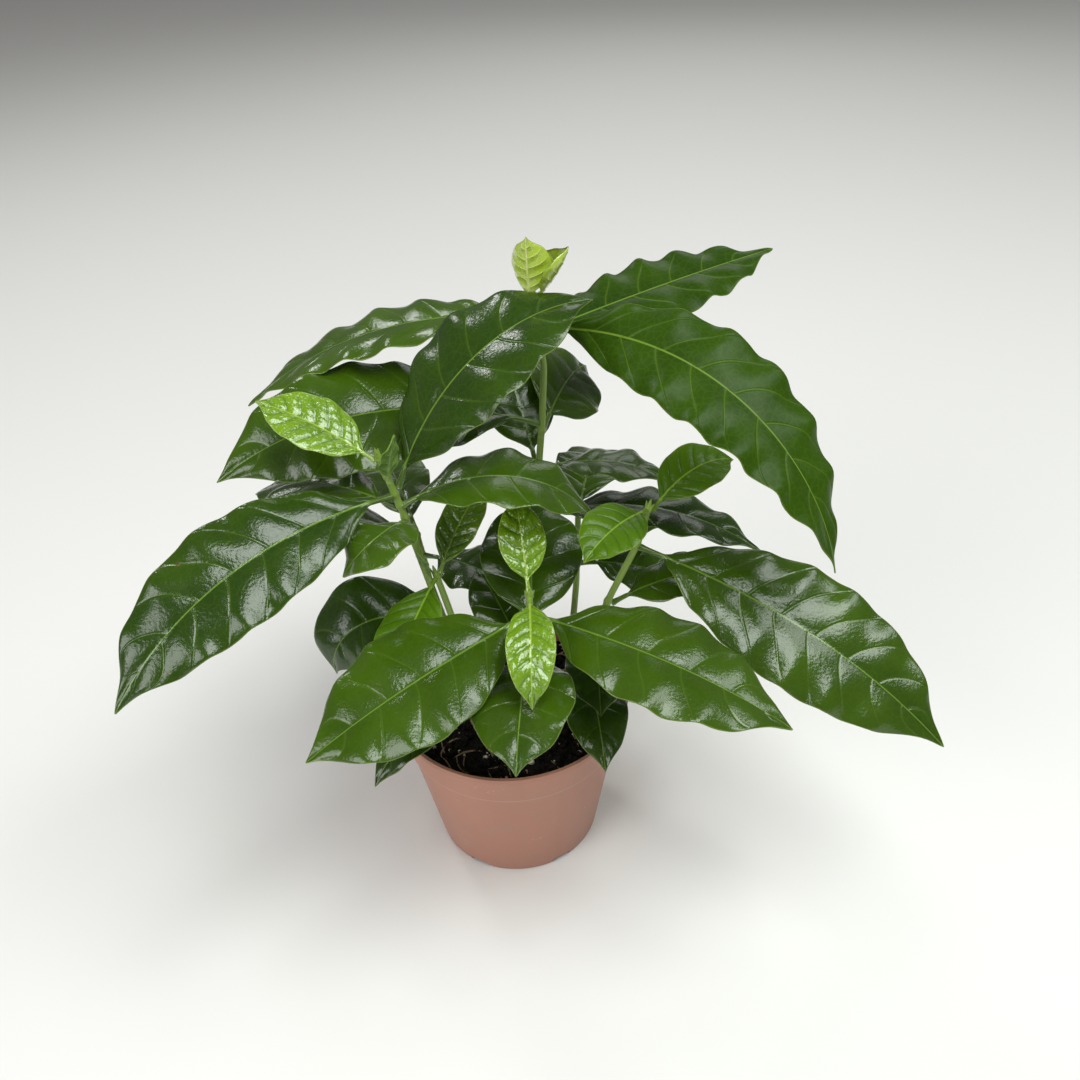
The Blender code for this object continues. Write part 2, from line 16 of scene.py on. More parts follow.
import bpy
import numpy as np
from mathutils import Matrix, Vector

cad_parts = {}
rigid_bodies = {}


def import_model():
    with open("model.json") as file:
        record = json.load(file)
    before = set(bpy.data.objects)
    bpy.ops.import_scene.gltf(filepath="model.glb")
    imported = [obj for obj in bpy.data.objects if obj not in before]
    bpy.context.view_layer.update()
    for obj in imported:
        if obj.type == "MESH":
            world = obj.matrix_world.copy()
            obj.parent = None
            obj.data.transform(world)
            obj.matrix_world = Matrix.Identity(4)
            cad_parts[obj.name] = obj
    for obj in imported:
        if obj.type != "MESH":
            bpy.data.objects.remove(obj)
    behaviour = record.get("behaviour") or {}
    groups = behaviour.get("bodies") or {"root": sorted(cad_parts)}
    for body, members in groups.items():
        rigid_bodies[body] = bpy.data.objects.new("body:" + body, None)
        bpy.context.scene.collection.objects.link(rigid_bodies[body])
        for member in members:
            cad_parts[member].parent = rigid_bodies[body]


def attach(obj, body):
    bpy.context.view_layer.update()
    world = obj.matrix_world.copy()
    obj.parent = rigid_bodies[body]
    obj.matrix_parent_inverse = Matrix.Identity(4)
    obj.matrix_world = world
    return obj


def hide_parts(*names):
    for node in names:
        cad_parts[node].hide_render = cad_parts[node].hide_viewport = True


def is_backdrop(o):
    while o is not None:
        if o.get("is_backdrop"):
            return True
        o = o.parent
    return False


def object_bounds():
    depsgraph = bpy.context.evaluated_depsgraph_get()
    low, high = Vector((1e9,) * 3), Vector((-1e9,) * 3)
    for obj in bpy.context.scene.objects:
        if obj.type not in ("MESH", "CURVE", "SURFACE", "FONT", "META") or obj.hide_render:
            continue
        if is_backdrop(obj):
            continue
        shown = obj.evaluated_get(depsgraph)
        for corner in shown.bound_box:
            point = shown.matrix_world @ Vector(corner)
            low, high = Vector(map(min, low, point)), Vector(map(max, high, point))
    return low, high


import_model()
CAD_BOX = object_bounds()

Array = np.ndarray
Socket = bpy.types.NodeSocket
Colour = tuple[float, float, float]
Place = tuple[float, float, float]

LOG = logging.getLogger("potted_coffee_plant")
BODY = "root"
MM = 0.001
GAP = 0.3 * MM
POLE_RADIUS = 0.05 * MM
LATTICE_SIDE = 64
SIDES_PER_REACH = 2.5

# Pot and soil, as in the CAD part
POT_HEIGHT = 90 * MM
RIM_RADIUS = 60 * MM
BASE_RADIUS = 43 * MM
WALL = 1.2 * MM
FLOOR = 1.6 * MM
LIP_HEIGHT = 3.0 * MM
LIP_REACH = 1.2 * MM
LIP_ROUND = 0.6 * MM
COLLAR_HEIGHT = 20 * MM
COLLAR_STEP = 1.0 * MM
BASE_ROUND = 0.8 * MM
NOTCH_COUNT = 6
NOTCH_WIDTH = 10 * MM
NOTCH_HEIGHT = 3.0 * MM
NOTCH_DEPTH = 6 * MM
NOTCH_FIRST_ANGLE = -62.0
SOIL_TOP = 79 * MM
SOIL_MOUND = 1.5 * MM

# Stems, as in the CAD part
STEM_RADIUS = 2.0 * MM
NODE_SPACING = 6 * MM
STEM_DEPTH = 26 * MM


def smooth_step(value: Array) -> Array:
    """A share from 0 to 1 eased at both ends: 3 t squared less 2 t cubed."""
    share = np.clip(value, 0.0, 1.0)
    return share * share * (3.0 - 2.0 * share)


def unit(vectors: Array) -> Array:
    """The vectors of the last axis, each divided by its length."""
    return vectors / np.linalg.norm(vectors, axis=-1, keepdims=True)


def lattice_noise(x: Array, y: Array, cell: float, seed: int) -> Array:
    """Smooth noise from -1 to 1: random values on a square lattice, eased between its corners.

    Args:
        x: First coordinates in metres.
        y: Second coordinates in metres, in the same shape.
        cell: The lattice's spacing in metres.
        seed: The random draw's seed.

    Returns:
        One value for each point.
    """
    lattice = np.random.default_rng(seed).uniform(-1.0, 1.0, (LATTICE_SIDE, LATTICE_SIDE))
    column, row = x / cell + LATTICE_SIDE / 2, y / cell + LATTICE_SIDE / 2
    left, low = np.floor(column).astype(int), np.floor(row).astype(int)
    across, up = smooth_step(column - left), smooth_step(row - low)
    corners = [
        lattice[(left + i) % LATTICE_SIDE, (low + j) % LATTICE_SIDE] for j in (0, 1) for i in (0, 1)
    ]
    lower = corners[0] + (corners[1] - corners[0]) * across
    upper = corners[2] + (corners[3] - corners[2]) * across
    return lower + (upper - lower) * up


@dataclass
class Draft:
    """A closed surface before it becomes a mesh.

    Attributes:
        points: Places in metres, one row each.
        quads: Point numbers of the four-sided faces.
        tris: Point numbers of the three-sided faces.
        marks: Named values, one for each point, that the finishes read.
        quad_finish: Which finish each four-sided face has.
    """

    points: Array
    quads: Array
    tris: Array
    marks: dict[str, Array] = field(default_factory=dict)
    quad_finish: Array | None = None

    @classmethod
    def skin(cls, rings: Array, marks: dict[str, Array] | None = None) -> "Draft":
        """Skin over rings, each end closed by a fan to the ring's middle.

        Args:
            rings: Places of shape (rings, points around, 3).
            marks: Named values of shape (rings, points around).

        Returns:
            The closed surface, with its faces outward.
        """
        count, around = rings.shape[:2]
        first, last = rings[0].mean(axis=0), rings[-1].mean(axis=0)
        points = np.vstack([rings.reshape(-1, 3), first, last])
        spot = np.arange(around)
        beside = (spot + 1) % around
        end = (count - 1) * around
        pole = count * around
        low_fan = np.stack([np.full(around, pole), beside, spot], axis=1)
        high_fan = np.stack([np.full(around, pole + 1), end + spot, end + beside], axis=1)
        values = {
            name: np.concatenate([mark.ravel(), [mark[0].mean(), mark[-1].mean()]])
            for name, mark in (marks or {}).items()
        }
        draft = cls(points, ring_quads(count, around), np.vstack([low_fan, high_fan]), values)
        return draft.outward()

    @classmethod
    def join(cls, drafts: Iterable["Draft"]) -> "Draft":
        """Several closed surfaces as one, side by side."""
        parts = list(drafts)
        starts = np.cumsum([0] + [len(part.points) for part in parts[:-1]])
        return cls(
            np.vstack([part.points for part in parts]),
            np.vstack([part.quads + start for part, start in zip(parts, starts)]),
            np.vstack([part.tris + start for part, start in zip(parts, starts)]),
            {
                name: np.concatenate([part.marks[name] for part in parts])
                for name in parts[0].marks
            },
        )

    def volume(self) -> float:
        """The enclosed volume: a sixth of each triangle's corner product, summed."""
        triangles = np.vstack([self.quads[:, [0, 1, 2]], self.quads[:, [0, 2, 3]], self.tris])
        a, b, c = (self.points[triangles[:, i]] for i in range(3))
        return float(np.einsum("ij,ij->i", a, np.cross(b, c)).sum() / 6.0)

    def outward(self) -> "Draft":
        """The same surface with its faces turned outward where they point in."""
        if self.volume() < 0.0:
            self.quads = self.quads[:, ::-1]
            self.tris = self.tris[:, ::-1]
        return self

    def to_object(self, name: str, finishes: list[bpy.types.Material]) -> bpy.types.Object:
        """Put the surface in the scene as a smooth mesh object at the origin.

        Args:
            name: The piece's name.
            finishes: Its materials, in the order that quad_finish counts them.

        Returns:
            The new object.
        """
        mesh = bpy.data.meshes.new(name)
        corners = np.concatenate([self.quads.ravel(), self.tris.ravel()]).astype(np.int32)
        sizes = np.concatenate([np.full(len(self.quads), 4), np.full(len(self.tris), 3)])
        starts = np.concatenate([[0], np.cumsum(sizes)[:-1]]).astype(np.int32)
        mesh.vertices.add(len(self.points))
        mesh.vertices.foreach_set("co", self.points.astype(np.float32).ravel())
        mesh.loops.add(len(corners))
        mesh.loops.foreach_set("vertex_index", corners)
        mesh.polygons.add(len(starts))
        mesh.polygons.foreach_set("loop_start", starts)
        if self.quad_finish is not None:
            used = np.concatenate([self.quad_finish, np.zeros(len(self.tris), int)])
            mesh.polygons.foreach_set("material_index", used.astype(np.int32))
        mesh.update(calc_edges=True)
        for mark, values in self.marks.items():
            layer = mesh.attributes.new(mark, "FLOAT", "POINT")
            layer.data.foreach_set("value", values.astype(np.float32))
        mesh.shade_smooth()
        for finish in finishes:
            mesh.materials.append(finish)
        piece = bpy.data.objects.new(name, mesh)
        bpy.context.scene.collection.objects.link(piece)
        return piece


def ring_quads(count: int, around: int) -> Array:
    """Point numbers of the quads between neighbouring rings of a grid that closes around."""
    ring, spot = np.meshgrid(np.arange(count - 1), np.arange(around), indexing="ij")
    beside = (spot + 1) % around
    corners = (
        ring * around + spot,
        (ring + 1) * around + spot,
        (ring + 1) * around + beside,
        ring * around + beside,
    )
    return np.stack(corners, axis=-1).reshape(-1, 4)


def tube(centres: Array, radii: Array, sides: int, hint: Place = (1.0, 0.0, 0.0)) -> Array:
    """Rings of a round tube: at each centre, a circle square to the course.

    Args:
        centres: The course, from one end to the other.
        radii: The radius at each centre.
        sides: Points in each ring.
        hint: A direction that the course never takes.

    Returns:
        Places of shape (centres, sides, 3).
    """
    ahead = unit(np.gradient(centres, axis=0))
    flank = unit(np.cross(ahead, hint))
    crown = np.cross(ahead, flank)
    turn = np.linspace(0.0, 2.0 * np.pi, sides, endpoint=False)
    spokes = np.cos(turn)[None, :, None] * flank[:, None] + np.sin(turn)[None, :, None] * crown[:, None]
    return centres[:, None] + radii[:, None, None] * spokes


def turned(profile: Array, sides: int) -> Array:
    """Rings of a turned body: each profile point (radius, height) swept round Z."""
    turn = np.linspace(0.0, 2.0 * np.pi, sides, endpoint=False)
    radius, height = profile[:, :1], profile[:, 1:]
    return np.stack(
        [radius * np.cos(turn), radius * np.sin(turn), np.broadcast_to(height, (len(profile), sides))],
        axis=-1,
    )


def rounded(corners: list[tuple[float, float]], reach: float, steps: int = 5) -> Array:
    """A profile whose inner corners are eased.

    Each corner becomes a parabola between two points, one on each of its sides: (1 - t) squared of the first,
    2 t (1 - t) of the corner and t squared of the second. Neither lies past two fifths of its side.

    Args:
        corners: The profile's corner points.
        reach: How far from a corner the easing starts at most, in metres.
        steps: Points on each eased corner.

    Returns:
        The eased profile's points.
    """
    places = np.array(corners)
    before, here, after = places[:-2], places[1:-1], places[2:]
    reach_back = np.minimum(reach, np.linalg.norm(here - before, axis=1) / SIDES_PER_REACH)[:, None]
    reach_on = np.minimum(reach, np.linalg.norm(after - here, axis=1) / SIDES_PER_REACH)[:, None]
    start = here + unit(before - here) * reach_back
    end = here + unit(after - here) * reach_on
    t = np.linspace(0.0, 1.0, steps)[None, :, None]
    arcs = (1 - t) ** 2 * start[:, None] + 2 * t * (1 - t) * here[:, None] + t**2 * end[:, None]
    return np.vstack([places[:1], arcs.reshape(-1, 2), places[-1:]])


def dress(piece: bpy.types.Object, slot: str, nodes: Iterable[str] = ()) -> None:
    """Let a piece ride on the plant and stand for CAD nodes."""
    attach(piece, BODY)
    replaced = list(nodes)
    if replaced:
        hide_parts(*replaced)
    LOG.info("%s: %d faces, stands for %s", piece.name, len(piece.data.polygons), replaced or "nothing")


class Sheet:
    """A material's node sheet, with short ways to add nodes and join them."""

    def __init__(self, name: str) -> None:
        """Start an empty material that ends in one Principled shader."""
        self.material = bpy.data.materials.new(name)
        self.material.use_nodes = True
        self.tree = self.material.node_tree
        self.shader = self.tree.nodes["Principled BSDF"]
        self.place = self.node("ShaderNodeTexCoord").outputs["Object"]

    def node(self, kind: str, **settings: object) -> bpy.types.Node:
        """Add a node of a Blender kind with its settings."""
        added = self.tree.nodes.new(kind)
        for name, value in settings.items():
            setattr(added, name, value)
        return added

    def feed(self, socket: Socket, value: Socket | float | Colour) -> None:
        """Join a socket to another, or set it to a number or a colour."""
        if isinstance(value, bpy.types.NodeSocket):
            self.tree.links.new(value, socket)
        elif isinstance(value, tuple):
            socket.default_value = (*value, 1.0) if len(value) == 3 else value
        else:
            socket.default_value = value

    def mark(self, name: str) -> Socket:
        """The piece's own value of that name at each point."""
        return self.node("ShaderNodeAttribute", attribute_name=name).outputs["Fac"]

    def math(self, operation: str, *values: Socket | float) -> Socket:
        """One arithmetic step on one to three values."""
        step = self.node("ShaderNodeMath", operation=operation)
        for socket, value in zip(step.inputs, values):
            self.feed(socket, value)
        return step.outputs[0]

    def off_whole(self, value: Socket) -> Socket:
        """How far a value is from a whole number: a half, less how far its fraction is from a half."""
        from_half = self.math("SUBTRACT", self.math("FRACT", value), 0.5)
        return self.math("SUBTRACT", 0.5, self.math("ABSOLUTE", from_half))

    def sway(self, value: Socket, cloud: Socket, reach: float) -> Socket:
        """A value moved up and down by noise from 0 to 1, over reach in all."""
        return self.math("ADD", value, self.math("MULTIPLY", self.math("SUBTRACT", cloud, 0.5), reach))

    def band(self, value: Socket, low: float, high: float) -> Socket:
        """An eased share: 0 where value is at low, 1 at high, or the other way round."""
        step = self.node("ShaderNodeMapRange", interpolation_type="SMOOTHSTEP")
        self.feed(step.inputs["Value"], value)
        rising = low < high
        self.feed(step.inputs["From Min"], min(low, high))
        self.feed(step.inputs["From Max"], max(low, high))
        self.feed(step.inputs["To Min"], 0.0 if rising else 1.0)
        self.feed(step.inputs["To Max"], 1.0 if rising else 0.0)
        return step.outputs["Result"]

    def noise(self, size: float, detail: float = 2.0, stretch: Colour = (1.0, 1.0, 1.0)) -> Socket:
        """Cloudy noise from 0 to 1 with blotches of about that size in metres."""
        mapping = self.node("ShaderNodeMapping")
        self.feed(mapping.inputs["Vector"], self.place)
        mapping.inputs["Scale"].default_value = tuple(s / size for s in stretch)
        cloud = self.node("ShaderNodeTexNoise")
        self.feed(cloud.inputs["Vector"], mapping.outputs[0])
        self.feed(cloud.inputs["Scale"], 1.0)
        self.feed(cloud.inputs["Detail"], detail)
        return cloud.outputs["Fac"]

    def cells(self, size: float) -> Socket:
        """Distance from the lines of a net of irregular cells about size metres wide, in cell widths."""
        net = self.node("ShaderNodeTexVoronoi", feature="DISTANCE_TO_EDGE")
        self.feed(net.inputs["Vector"], self.place)
        self.feed(net.inputs["Scale"], 1.0 / size)
        return net.outputs["Distance"]

    def tint(self, share: Socket | float, first: Socket | Colour, second: Socket | Colour) -> Socket:
        """A colour between two, by a share."""
        mix = self.node("ShaderNodeMix", data_type="RGBA")
        self.feed(mix.inputs["Factor"], share)
        self.feed(mix.inputs[6], first)
        self.feed(mix.inputs[7], second)
        return mix.outputs[2]

    def glaze(self, skin: Socket, share: Socket, strength: float, colour: Colour) -> Socket:
        """The skin with a colour laid over it, at that strength where the share is 1."""
        return self.tint(self.math("MULTIPLY", share, strength), skin, colour)

    def relief(self, height: Socket, depth: float, normal: Socket | None = None) -> Socket:
        """Small relief: a height from 0 to 1 that stands depth metres high."""
        bump = self.node("ShaderNodeBump")
        self.feed(bump.inputs["Height"], height)
        self.feed(bump.inputs["Distance"], depth)
        if normal is not None:
            self.feed(bump.inputs["Normal"], normal)
        return bump.outputs["Normal"]

    def finish(
        self, colour: Socket | Colour, rough: Socket | float, **sockets: Socket | float
    ) -> bpy.types.Material:
        """Feed the shader and give the material.

        Args:
            colour: Its base colour.
            rough: Its roughness.
            sockets: Other shader sockets, with underscores for the spaces in their names.

        Returns:
            The finished material.
        """
        self.feed(self.shader.inputs["Base Color"], colour)
        self.feed(self.shader.inputs["Roughness"], rough)
        for name, value in sockets.items():
            self.feed(self.shader.inputs[name.replace("_", " ")], value)
        return self.material


@dataclass(frozen=True)
class BladeFinish:
    """The upper side of a leaf: waxy green skin, veins in grooves, a net of fine veins and grain.

    The lateral veins lie where the mark named vein is a whole number, the midrib where rib is nought
    and the margin where edge_mm is nought. The veins are paler than the skin on mature leaves; on young
    and growing leaves their darker colour is painted shade in the creases. On the green leaves the paler
    margin line is a painted highlight where the rim catches light.
    """

    TONE_CLOUD: ClassVar[float] = 0.022
    TONE_REACH: ClassVar[float] = 0.9
    NET_SHARE: ClassVar[float] = 0.35
    HALO_SHARE: ClassVar[float] = 0.3
    HALO_WIDTH: ClassVar[float] = 3.5
    GROOVE_WIDTH: ClassVar[float] = 2.2
    GROOVE_DEPTH: ClassVar[float] = 0.16 * MM
    MARGIN_RAGGEDNESS: ClassVar[float] = 1.2
    MARGIN_STRENGTH: ClassVar[float] = 0.75
    BLEMISH_SIZE: ClassVar[float] = 0.011
    BLEMISH_STRENGTH: ClassVar[float] = 0.6
    BLEMISH: ClassVar[Colour] = (0.075, 0.05, 0.018)
    WAX_PATCH: ClassVar[float] = 0.006
    WAX_SPREAD: ClassVar[float] = 0.14
    GRAIN_SIZE: ClassVar[float] = 0.0011
    COAT_ROUGHNESS: ClassVar[float] = 0.10

    name: str
    deep: Colour
    fresh: Colour
    vein: Colour
    rib: Colour
    margin: Colour
    vein_width: float
    vein_strength: float
    net_size: float
    net_depth: float
    grain_depth: float
    roughness: float
    coat: float
    specular: float
    margin_width: float = 0.5

    def build(self) -> bpy.types.Material:
        """Make the material."""
        sheet = Sheet(self.name)
        blotch = sheet.sway(sheet.mark("tone"), sheet.noise(self.TONE_CLOUD, 3.0), self.TONE_REACH)
        skin = sheet.tint(sheet.band(blotch, 0.0, 1.0), self.deep, self.fresh)
        off_vein = sheet.off_whole(sheet.mark("vein"))
        net = sheet.cells(self.net_size)
        skin = self.veined(sheet, skin, off_vein, net)
        skin = self.edged(sheet, skin)
        blemish = sheet.band(sheet.noise(self.BLEMISH_SIZE, 3.0), 0.735, 0.765)
        skin = sheet.glaze(skin, blemish, self.BLEMISH_STRENGTH, self.BLEMISH)

        least = self.roughness - self.WAX_SPREAD / 2
        rough = sheet.math("MULTIPLY_ADD", sheet.noise(self.WAX_PATCH, 3.0), self.WAX_SPREAD, least)
        grain = sheet.relief(sheet.noise(self.GRAIN_SIZE, 3.0), self.grain_depth)
        pitted = sheet.relief(sheet.band(net, 0.0, 0.32), self.net_depth, grain)
        groove = sheet.band(off_vein, 0.0, self.vein_width * self.GROOVE_WIDTH)
        return sheet.finish(
            skin,
            rough,
            Normal=sheet.relief(groove, self.GROOVE_DEPTH, pitted),
            Coat_Weight=self.coat,
            Coat_Roughness=self.COAT_ROUGHNESS,
            Specular_IOR_Level=self.specular,
        )

    def veined(self, sheet: Sheet, skin: Socket, off_vein: Socket, net: Socket) -> Socket:
        """The skin with its net, its lateral veins in a faint halo, and its midrib.

        Args:
            sheet: The material's sheet.
            skin: The bare skin's colour.
            off_vein: How far a point is from a lateral vein, in vein spacings.
            net: How far it is from the net's lines.

        Returns:
            The veined colour.
        """
        inner = sheet.band(sheet.mark("reach"), 1.0, 0.55)
        line = sheet.math("MULTIPLY", sheet.band(off_vein, self.vein_width, self.vein_width * 0.25), inner)
        halo = sheet.math("MULTIPLY", sheet.band(off_vein, self.vein_width * self.HALO_WIDTH, 0.0), inner)
        net_line = sheet.band(net, 0.10, 0.0)
        # On young and growing leaves the vein colour is darker than the skin: the net, halo and vein lines
        # are then painted shade in the creases.
        skin = sheet.glaze(skin, net_line, self.vein_strength * self.NET_SHARE, self.vein)
        skin = sheet.glaze(skin, halo, self.vein_strength * self.HALO_SHARE, self.vein)
        skin = sheet.glaze(skin, line, self.vein_strength, self.vein)
        return sheet.tint(sheet.band(sheet.mark("rib"), 1.0, 0.45), skin, self.rib)

    def edged(self, sheet: Sheet, skin: Socket) -> Socket:
        """The skin with a thin, slightly ragged line along its margin."""
        ragged = self.MARGIN_RAGGEDNESS * self.margin_width
        wander = sheet.math("MULTIPLY_ADD", sheet.noise(0.004, 2.0), ragged, -ragged / 2)
        edge = sheet.math("ADD", sheet.mark("edge_mm"), wander)
        # Painted highlight: on green leaves the margin colour is paler than the skin, the rim catching light;
        # on unfolding leaves it is a brown edge.
        rim_line = sheet.band(edge, self.margin_width, 0.25 * self.margin_width)
        return sheet.glaze(skin, rim_line, self.MARGIN_STRENGTH, self.margin)


@dataclass(frozen=True)
class UndersideFinish:
    """The lower side of a leaf: pale, matt green with raised paler veins."""

    NET_SIZE: ClassVar[float] = 3.2 * MM
    NET_SHARE: ClassVar[float] = 0.4
    VEIN_HEIGHT: ClassVar[float] = 0.15 * MM
    SHADE: ClassVar[float] = 0.78

    name: str
    skin: Colour
    vein: Colour
    roughness: float = 0.5
    coat: float = 0.0

    def build(self) -> bpy.types.Material:
        """Make the material."""
        sheet = Sheet(self.name)
        off_vein = sheet.off_whole(sheet.mark("vein"))
        inner = sheet.band(sheet.mark("reach"), 1.0, 0.5)
        line = sheet.math("MULTIPLY", sheet.band(off_vein, 0.07, 0.02), inner)
        rib_line = sheet.band(sheet.mark("rib"), 1.5, 0.7)
        net_line = sheet.math("MULTIPLY", sheet.band(sheet.cells(self.NET_SIZE), 0.08, 0.0), self.NET_SHARE)
        veined = sheet.math("MAXIMUM", sheet.math("MAXIMUM", line, rib_line), net_line)
        shade = sheet.tint(sheet.noise(0.02), self.skin, tuple(self.SHADE * part for part in self.skin))
        raised = sheet.relief(veined, self.VEIN_HEIGHT, sheet.relief(sheet.noise(0.0009), 0.03 * MM))
        skin = sheet.tint(veined, shade, self.vein)
        return sheet.finish(skin, self.roughness, Normal=raised, Coat_Weight=self.coat, Coat_Roughness=0.12)


@dataclass(frozen=True)
class BarkFinish:
    """A young stem: smooth green skin that turns brown and ridged toward the soil."""

    RIDGE_DEPTH: ClassVar[float] = 0.18 * MM

    green: Colour = (0.20, 0.31, 0.045)
    brown: Colour = (0.11, 0.075, 0.035)
    fleck: Colour = (0.27, 0.36, 0.10)

    def build(self) -> bpy.types.Material:
        """Make the material."""
        sheet = Sheet("green_stem")
        ridges = sheet.noise(0.0016, 3.0, (1.0, 1.0, 0.18))
        aged = sheet.sway(sheet.mark("age"), ridges, 0.7)
        skin = sheet.tint(sheet.band(aged, 0.35, 0.95), self.green, self.brown)
        skin = sheet.tint(sheet.band(sheet.noise(0.004, 2.0), 0.62, 0.75), skin, self.fleck)
        depth = sheet.relief(ridges, self.RIDGE_DEPTH)
        return sheet.finish(skin, sheet.math("MULTIPLY_ADD", ridges, 0.2, 0.36), Normal=depth)


@dataclass(frozen=True)
class PotFinish:
    """Moulded terracotta-brown plastic: an even matt skin with faint flow marks, scuffed spots, dusty
    patches, and a painted highlight line with painted shade under it at the collar's foot.
    """

    SHADE: ClassVar[float] = 0.92
    ROUGHNESS: ClassVar[float] = 0.32
    # The next strength sets both the dusty patches and the painted shade under the collar's step.
    DUST_AND_SHADE_STRENGTH: ClassVar[float] = 0.35
    SCUFF_STRENGTH: ClassVar[float] = 0.5
    # A paler line on the collar's foot is a painted highlight, and a darker band under the step is painted
    # shade.
    PAINTED_HIGHLIGHT_STRENGTH: ClassVar[float] = 0.22
    PAINTED_HIGHLIGHT_ABOVE: ClassVar[float] = 0.5 * MM
    PAINTED_HIGHLIGHT_BAND: ClassVar[tuple[float, float]] = (0.6 * MM, 0.2 * MM)
    PAINTED_SHADE_BELOW: ClassVar[float] = 0.7 * MM
    PAINTED_SHADE_BAND: ClassVar[tuple[float, float]] = (1.0 * MM, 0.3 * MM)

    plastic: Colour = (0.445, 0.200, 0.135)
    # Colour of the scuffs, and also of the painted highlight line on the collar's foot.
    rubbed_and_highlight: Colour = (0.62, 0.47, 0.39)
    # Colour of the dusty patches, and also of the painted shade under the collar's step.
    dust_and_shade: Colour = (0.30, 0.20, 0.15)

    def build(self) -> bpy.types.Material:
        """Make the material."""
        sheet = Sheet("terracotta_plastic")
        flow = sheet.noise(0.035, 3.0, (1.0, 1.0, 0.35))
        shaded = tuple(self.SHADE * part for part in self.plastic)
        skin = sheet.tint(sheet.band(flow, 0.3, 0.7), shaded, self.plastic)
        dusty = sheet.band(sheet.noise(0.012, 4.0), 0.52, 0.8)
        skin = sheet.glaze(skin, dusty, self.DUST_AND_SHADE_STRENGTH, self.dust_and_shade)
        scuffs = sheet.noise(0.0022, 4.0, (1.0, 1.0, 3.0))
        patches = sheet.band(sheet.noise(0.02, 1.0), 0.58, 0.7)
        scuffed = sheet.math("MULTIPLY", sheet.band(scuffs, 0.62, 0.7), patches)
        skin = sheet.glaze(skin, scuffed, self.SCUFF_STRENGTH, self.rubbed_and_highlight)
        skin = self.collar_painted_highlight_and_shade(sheet, skin)
        rough = sheet.math("MULTIPLY_ADD", flow, 0.18, self.ROUGHNESS)
        pebbled = sheet.relief(sheet.noise(0.0006, 2.0), 0.03 * MM)
        wavy = sheet.relief(sheet.noise(0.014, 1.0), 0.12 * MM, pebbled)
        rough = sheet.math("ADD", rough, sheet.math("MULTIPLY", scuffed, 0.15))
        return sheet.finish(skin, rough, Normal=wavy)

    def collar_painted_highlight_and_shade(self, sheet: Sheet, skin: Socket) -> Socket:
        """The skin with a painted highlight line on the collar's lower edge and a band of painted shade in
        the corner under it.
        """
        place = sheet.node("ShaderNodeSeparateXYZ")
        sheet.feed(place.inputs[0], sheet.place)
        over_foot = sheet.math("SUBTRACT", place.outputs["Z"], POT_HEIGHT - COLLAR_HEIGHT)
        from_painted_highlight = sheet.math("ABSOLUTE", sheet.math("SUBTRACT", over_foot, self.PAINTED_HIGHLIGHT_ABOVE))
        from_painted_shade = sheet.math("ABSOLUTE", sheet.math("ADD", over_foot, self.PAINTED_SHADE_BELOW))
        # Painted highlight: a paler line just above the collar's foot, as if its edge caught light.
        skin = sheet.glaze(skin, sheet.band(from_painted_highlight, *self.PAINTED_HIGHLIGHT_BAND), self.PAINTED_HIGHLIGHT_STRENGTH, self.rubbed_and_highlight)
        # Painted shade: a darker band just under the collar's step, where its shadow would fall.
        return sheet.glaze(skin, sheet.band(from_painted_shade, *self.PAINTED_SHADE_BAND), self.DUST_AND_SHADE_STRENGTH, self.dust_and_shade)


@dataclass(frozen=True)
class PeatFinish:
    """Damp peat: near-black brown crumbs with lighter fibres in between and a faint wet gloss."""

    wet: Colour = (0.004, 0.003, 0.002)
    dry: Colour = (0.022, 0.014, 0.009)

    def build(self) -> bpy.types.Material:
        """Make the material."""
        sheet = Sheet("damp_peat")
        crumbs = sheet.noise(0.0018, 5.0)
        skin = sheet.tint(sheet.band(crumbs, 0.45, 0.78), self.wet, self.dry)
        rough = sheet.band(sheet.noise(0.003, 2.0), 0.1, 0.6)
        rough = sheet.math("MULTIPLY_ADD", rough, 0.35, 0.55)
        return sheet.finish(skin, rough, Normal=sheet.relief(crumbs, 1.2 * MM), Specular_IOR_Level=0.2)


@dataclass(frozen=True)
class GritFinish:
    """Small loose matter on the soil: one colour with darker smears, such as perlite or fibre."""

    name: str
    clean: Colour
    smear: Colour
    roughness: float

    def build(self) -> bpy.types.Material:
        """Make the material."""
        sheet = Sheet(self.name)
        smear = sheet.band(sheet.noise(0.0014, 3.0), 0.42, 0.66)
        skin = sheet.tint(smear, self.clean, self.smear)
        return sheet.finish(skin, self.roughness, Normal=sheet.relief(sheet.noise(0.0005, 3.0), 0.2 * MM))


@dataclass(frozen=True)
class LeafKind:
    """How one kind of leaf is folded, curled, waved and veined.

    Angles are in degrees and lengths in metres, apart from wave_length, which is in millimetres like the
    planting tables.
    """

    slot: str
    fold: float
    curl: float
    wave: float
    wave_length: float
    stalk_radius: float
    vein_spacing: float
    vein_lead: float
    quilt: float
    brick: float
    swell: float
    row_spacing: float
    upper: BladeFinish
    under: UndersideFinish
    thickness: float = 0.5 * MM
    keel: float = 0.7 * MM


class Leaf(NamedTuple):
    """One leaf's row of the CAD part's planting table, in millimetres and degrees.

    height is the node's height above the pot's underside. heading is the compass direction that the leaf
    leaves in, counted from +X toward +Y, and turn is how far it swings by the tip. rise is the slope at the
    stem and droop how far that slope falls by the tip. roll lifts the left side and twist adds to it by the
    tip. length and width are the blade's, and stalk is the length of the bare stalk.
    """

    name: str
    stem: str
    height: float
    heading: float
    rise: float
    droop: float
    turn: float
    roll: float
    twist: float
    length: float
    width: float
    stalk: float


